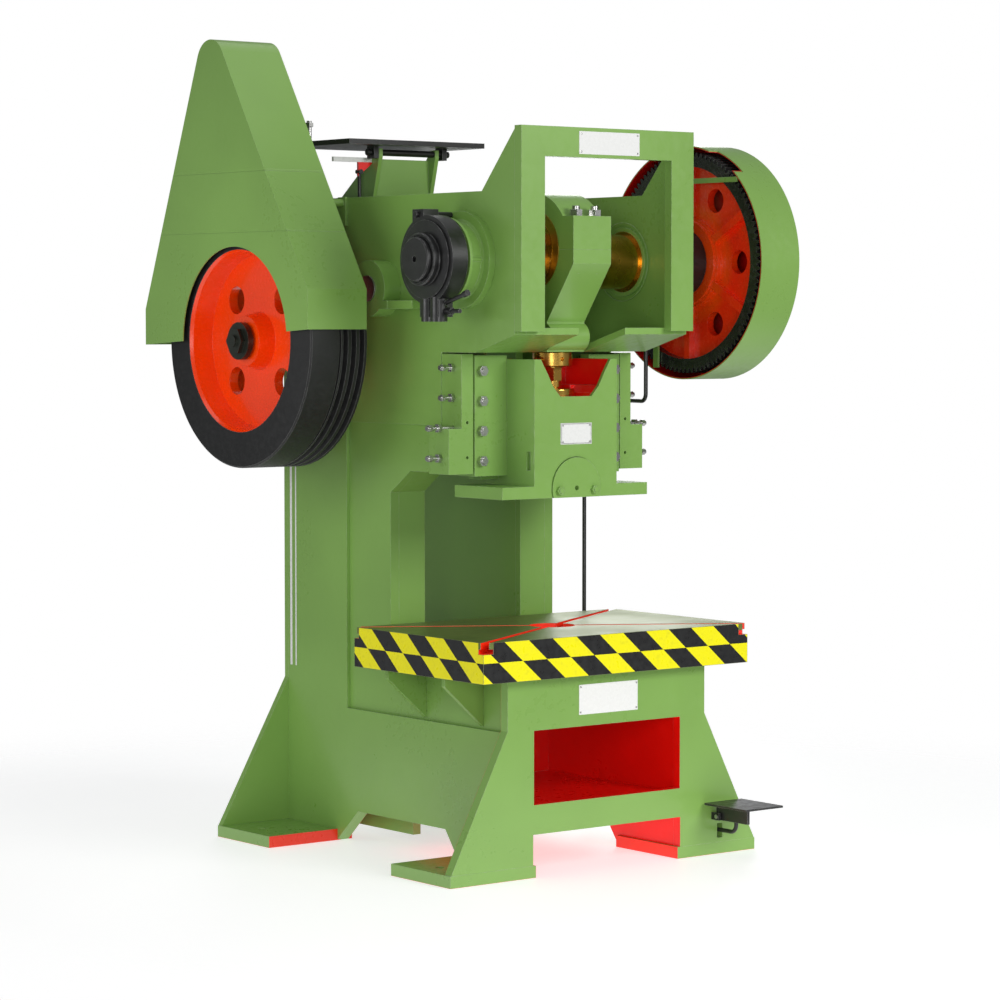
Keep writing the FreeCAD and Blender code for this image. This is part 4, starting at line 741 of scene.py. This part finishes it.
def build_light():
    world = bpy.data.worlds.new("studio")
    bpy.context.scene.world = world
    world.use_nodes = True
    tree = world.node_tree
    tree.nodes.clear()
    output = tree.nodes.new("ShaderNodeOutputWorld")
    seen = tree.nodes.new("ShaderNodeBackground")
    seen.inputs["Color"].default_value = (1, 1, 1, 1)
    seen.inputs["Strength"].default_value = 1.0
    fill = tree.nodes.new("ShaderNodeBackground")
    fill.inputs["Color"].default_value = (0.95, 0.98, 1.0, 1)
    fill.inputs["Strength"].default_value = 0.24
    path = tree.nodes.new("ShaderNodeLightPath")
    mix = tree.nodes.new("ShaderNodeMixShader")
    tree.links.new(path.outputs["Is Camera Ray"], mix.inputs[0])
    tree.links.new(fill.outputs[0], mix.inputs[1])
    tree.links.new(seen.outputs[0], mix.inputs[2])
    tree.links.new(mix.outputs[0], output.inputs["Surface"])
    centre = (0, 0.4, 1.5)
    add_light("key", (1.8, -7.0, 4.2), centre, (3.2, 2.4), 300)
    add_light("camera_side_fill", (-6.2, -6.4, 2.2), centre, (2.4, 2.4), 150)
    add_light("side_fill", (-7.5, 1.0, 3.5), centre, (3.0, 4.0), 40)
    add_light("flywheel_fill", (-2.3, 0.75, 2.0), FLYWHEEL_AXIS, (0.8, 0.8), 8)
    add_light("base_fill", (-1.8, -4.6, 0.7), (0.1, 0.1, 0.42), (1.2, 0.8), 26)
    add_light("top", (0.0, 1.0, 7.0), centre, (5.0, 5.0), 70)
    add_light("rim", (5.0, 6.0, 4.0), centre, (2.0, 4.0), 80)


def build_camera():
    """Long lens, from the operator's left front at about eye height."""
    azimuth, dip = math.radians(37.93), math.radians(3.19)
    distance = 12.91
    focal = 118.8
    aim_right, aim_down = 0.098, 0.219
    low, high = (Vector(corner) for corner in cad_box)
    view = Vector((math.sin(azimuth) * math.cos(dip), math.cos(azimuth) * math.cos(dip),
                   -math.sin(dip)))
    right = view.cross(Vector((0, 0, 1))).normalized()
    aim = (low + high) / 2 + right * aim_right - right.cross(view) * aim_down
    data = bpy.data.cameras.new("camera")
    data.lens = focal
    data.sensor_width = 36.0
    data.clip_end = 100.0
    camera = bpy.data.objects.new("camera", data)
    camera.location = aim - view * distance
    camera.rotation_euler = view.to_track_quat("-Z", "Y").to_euler()
    bpy.context.scene.collection.objects.link(camera)
    bpy.context.scene.camera = camera


dress_nodes()
build_hazard_tape()
build_stripes()
build_drum_boss()
build_brake_lever()
build_bearing_rings()
build_motor_rest()
build_label_trim()
build_stage()
build_light()
build_camera()
bpy.context.scene.view_settings.view_transform = "Standard"
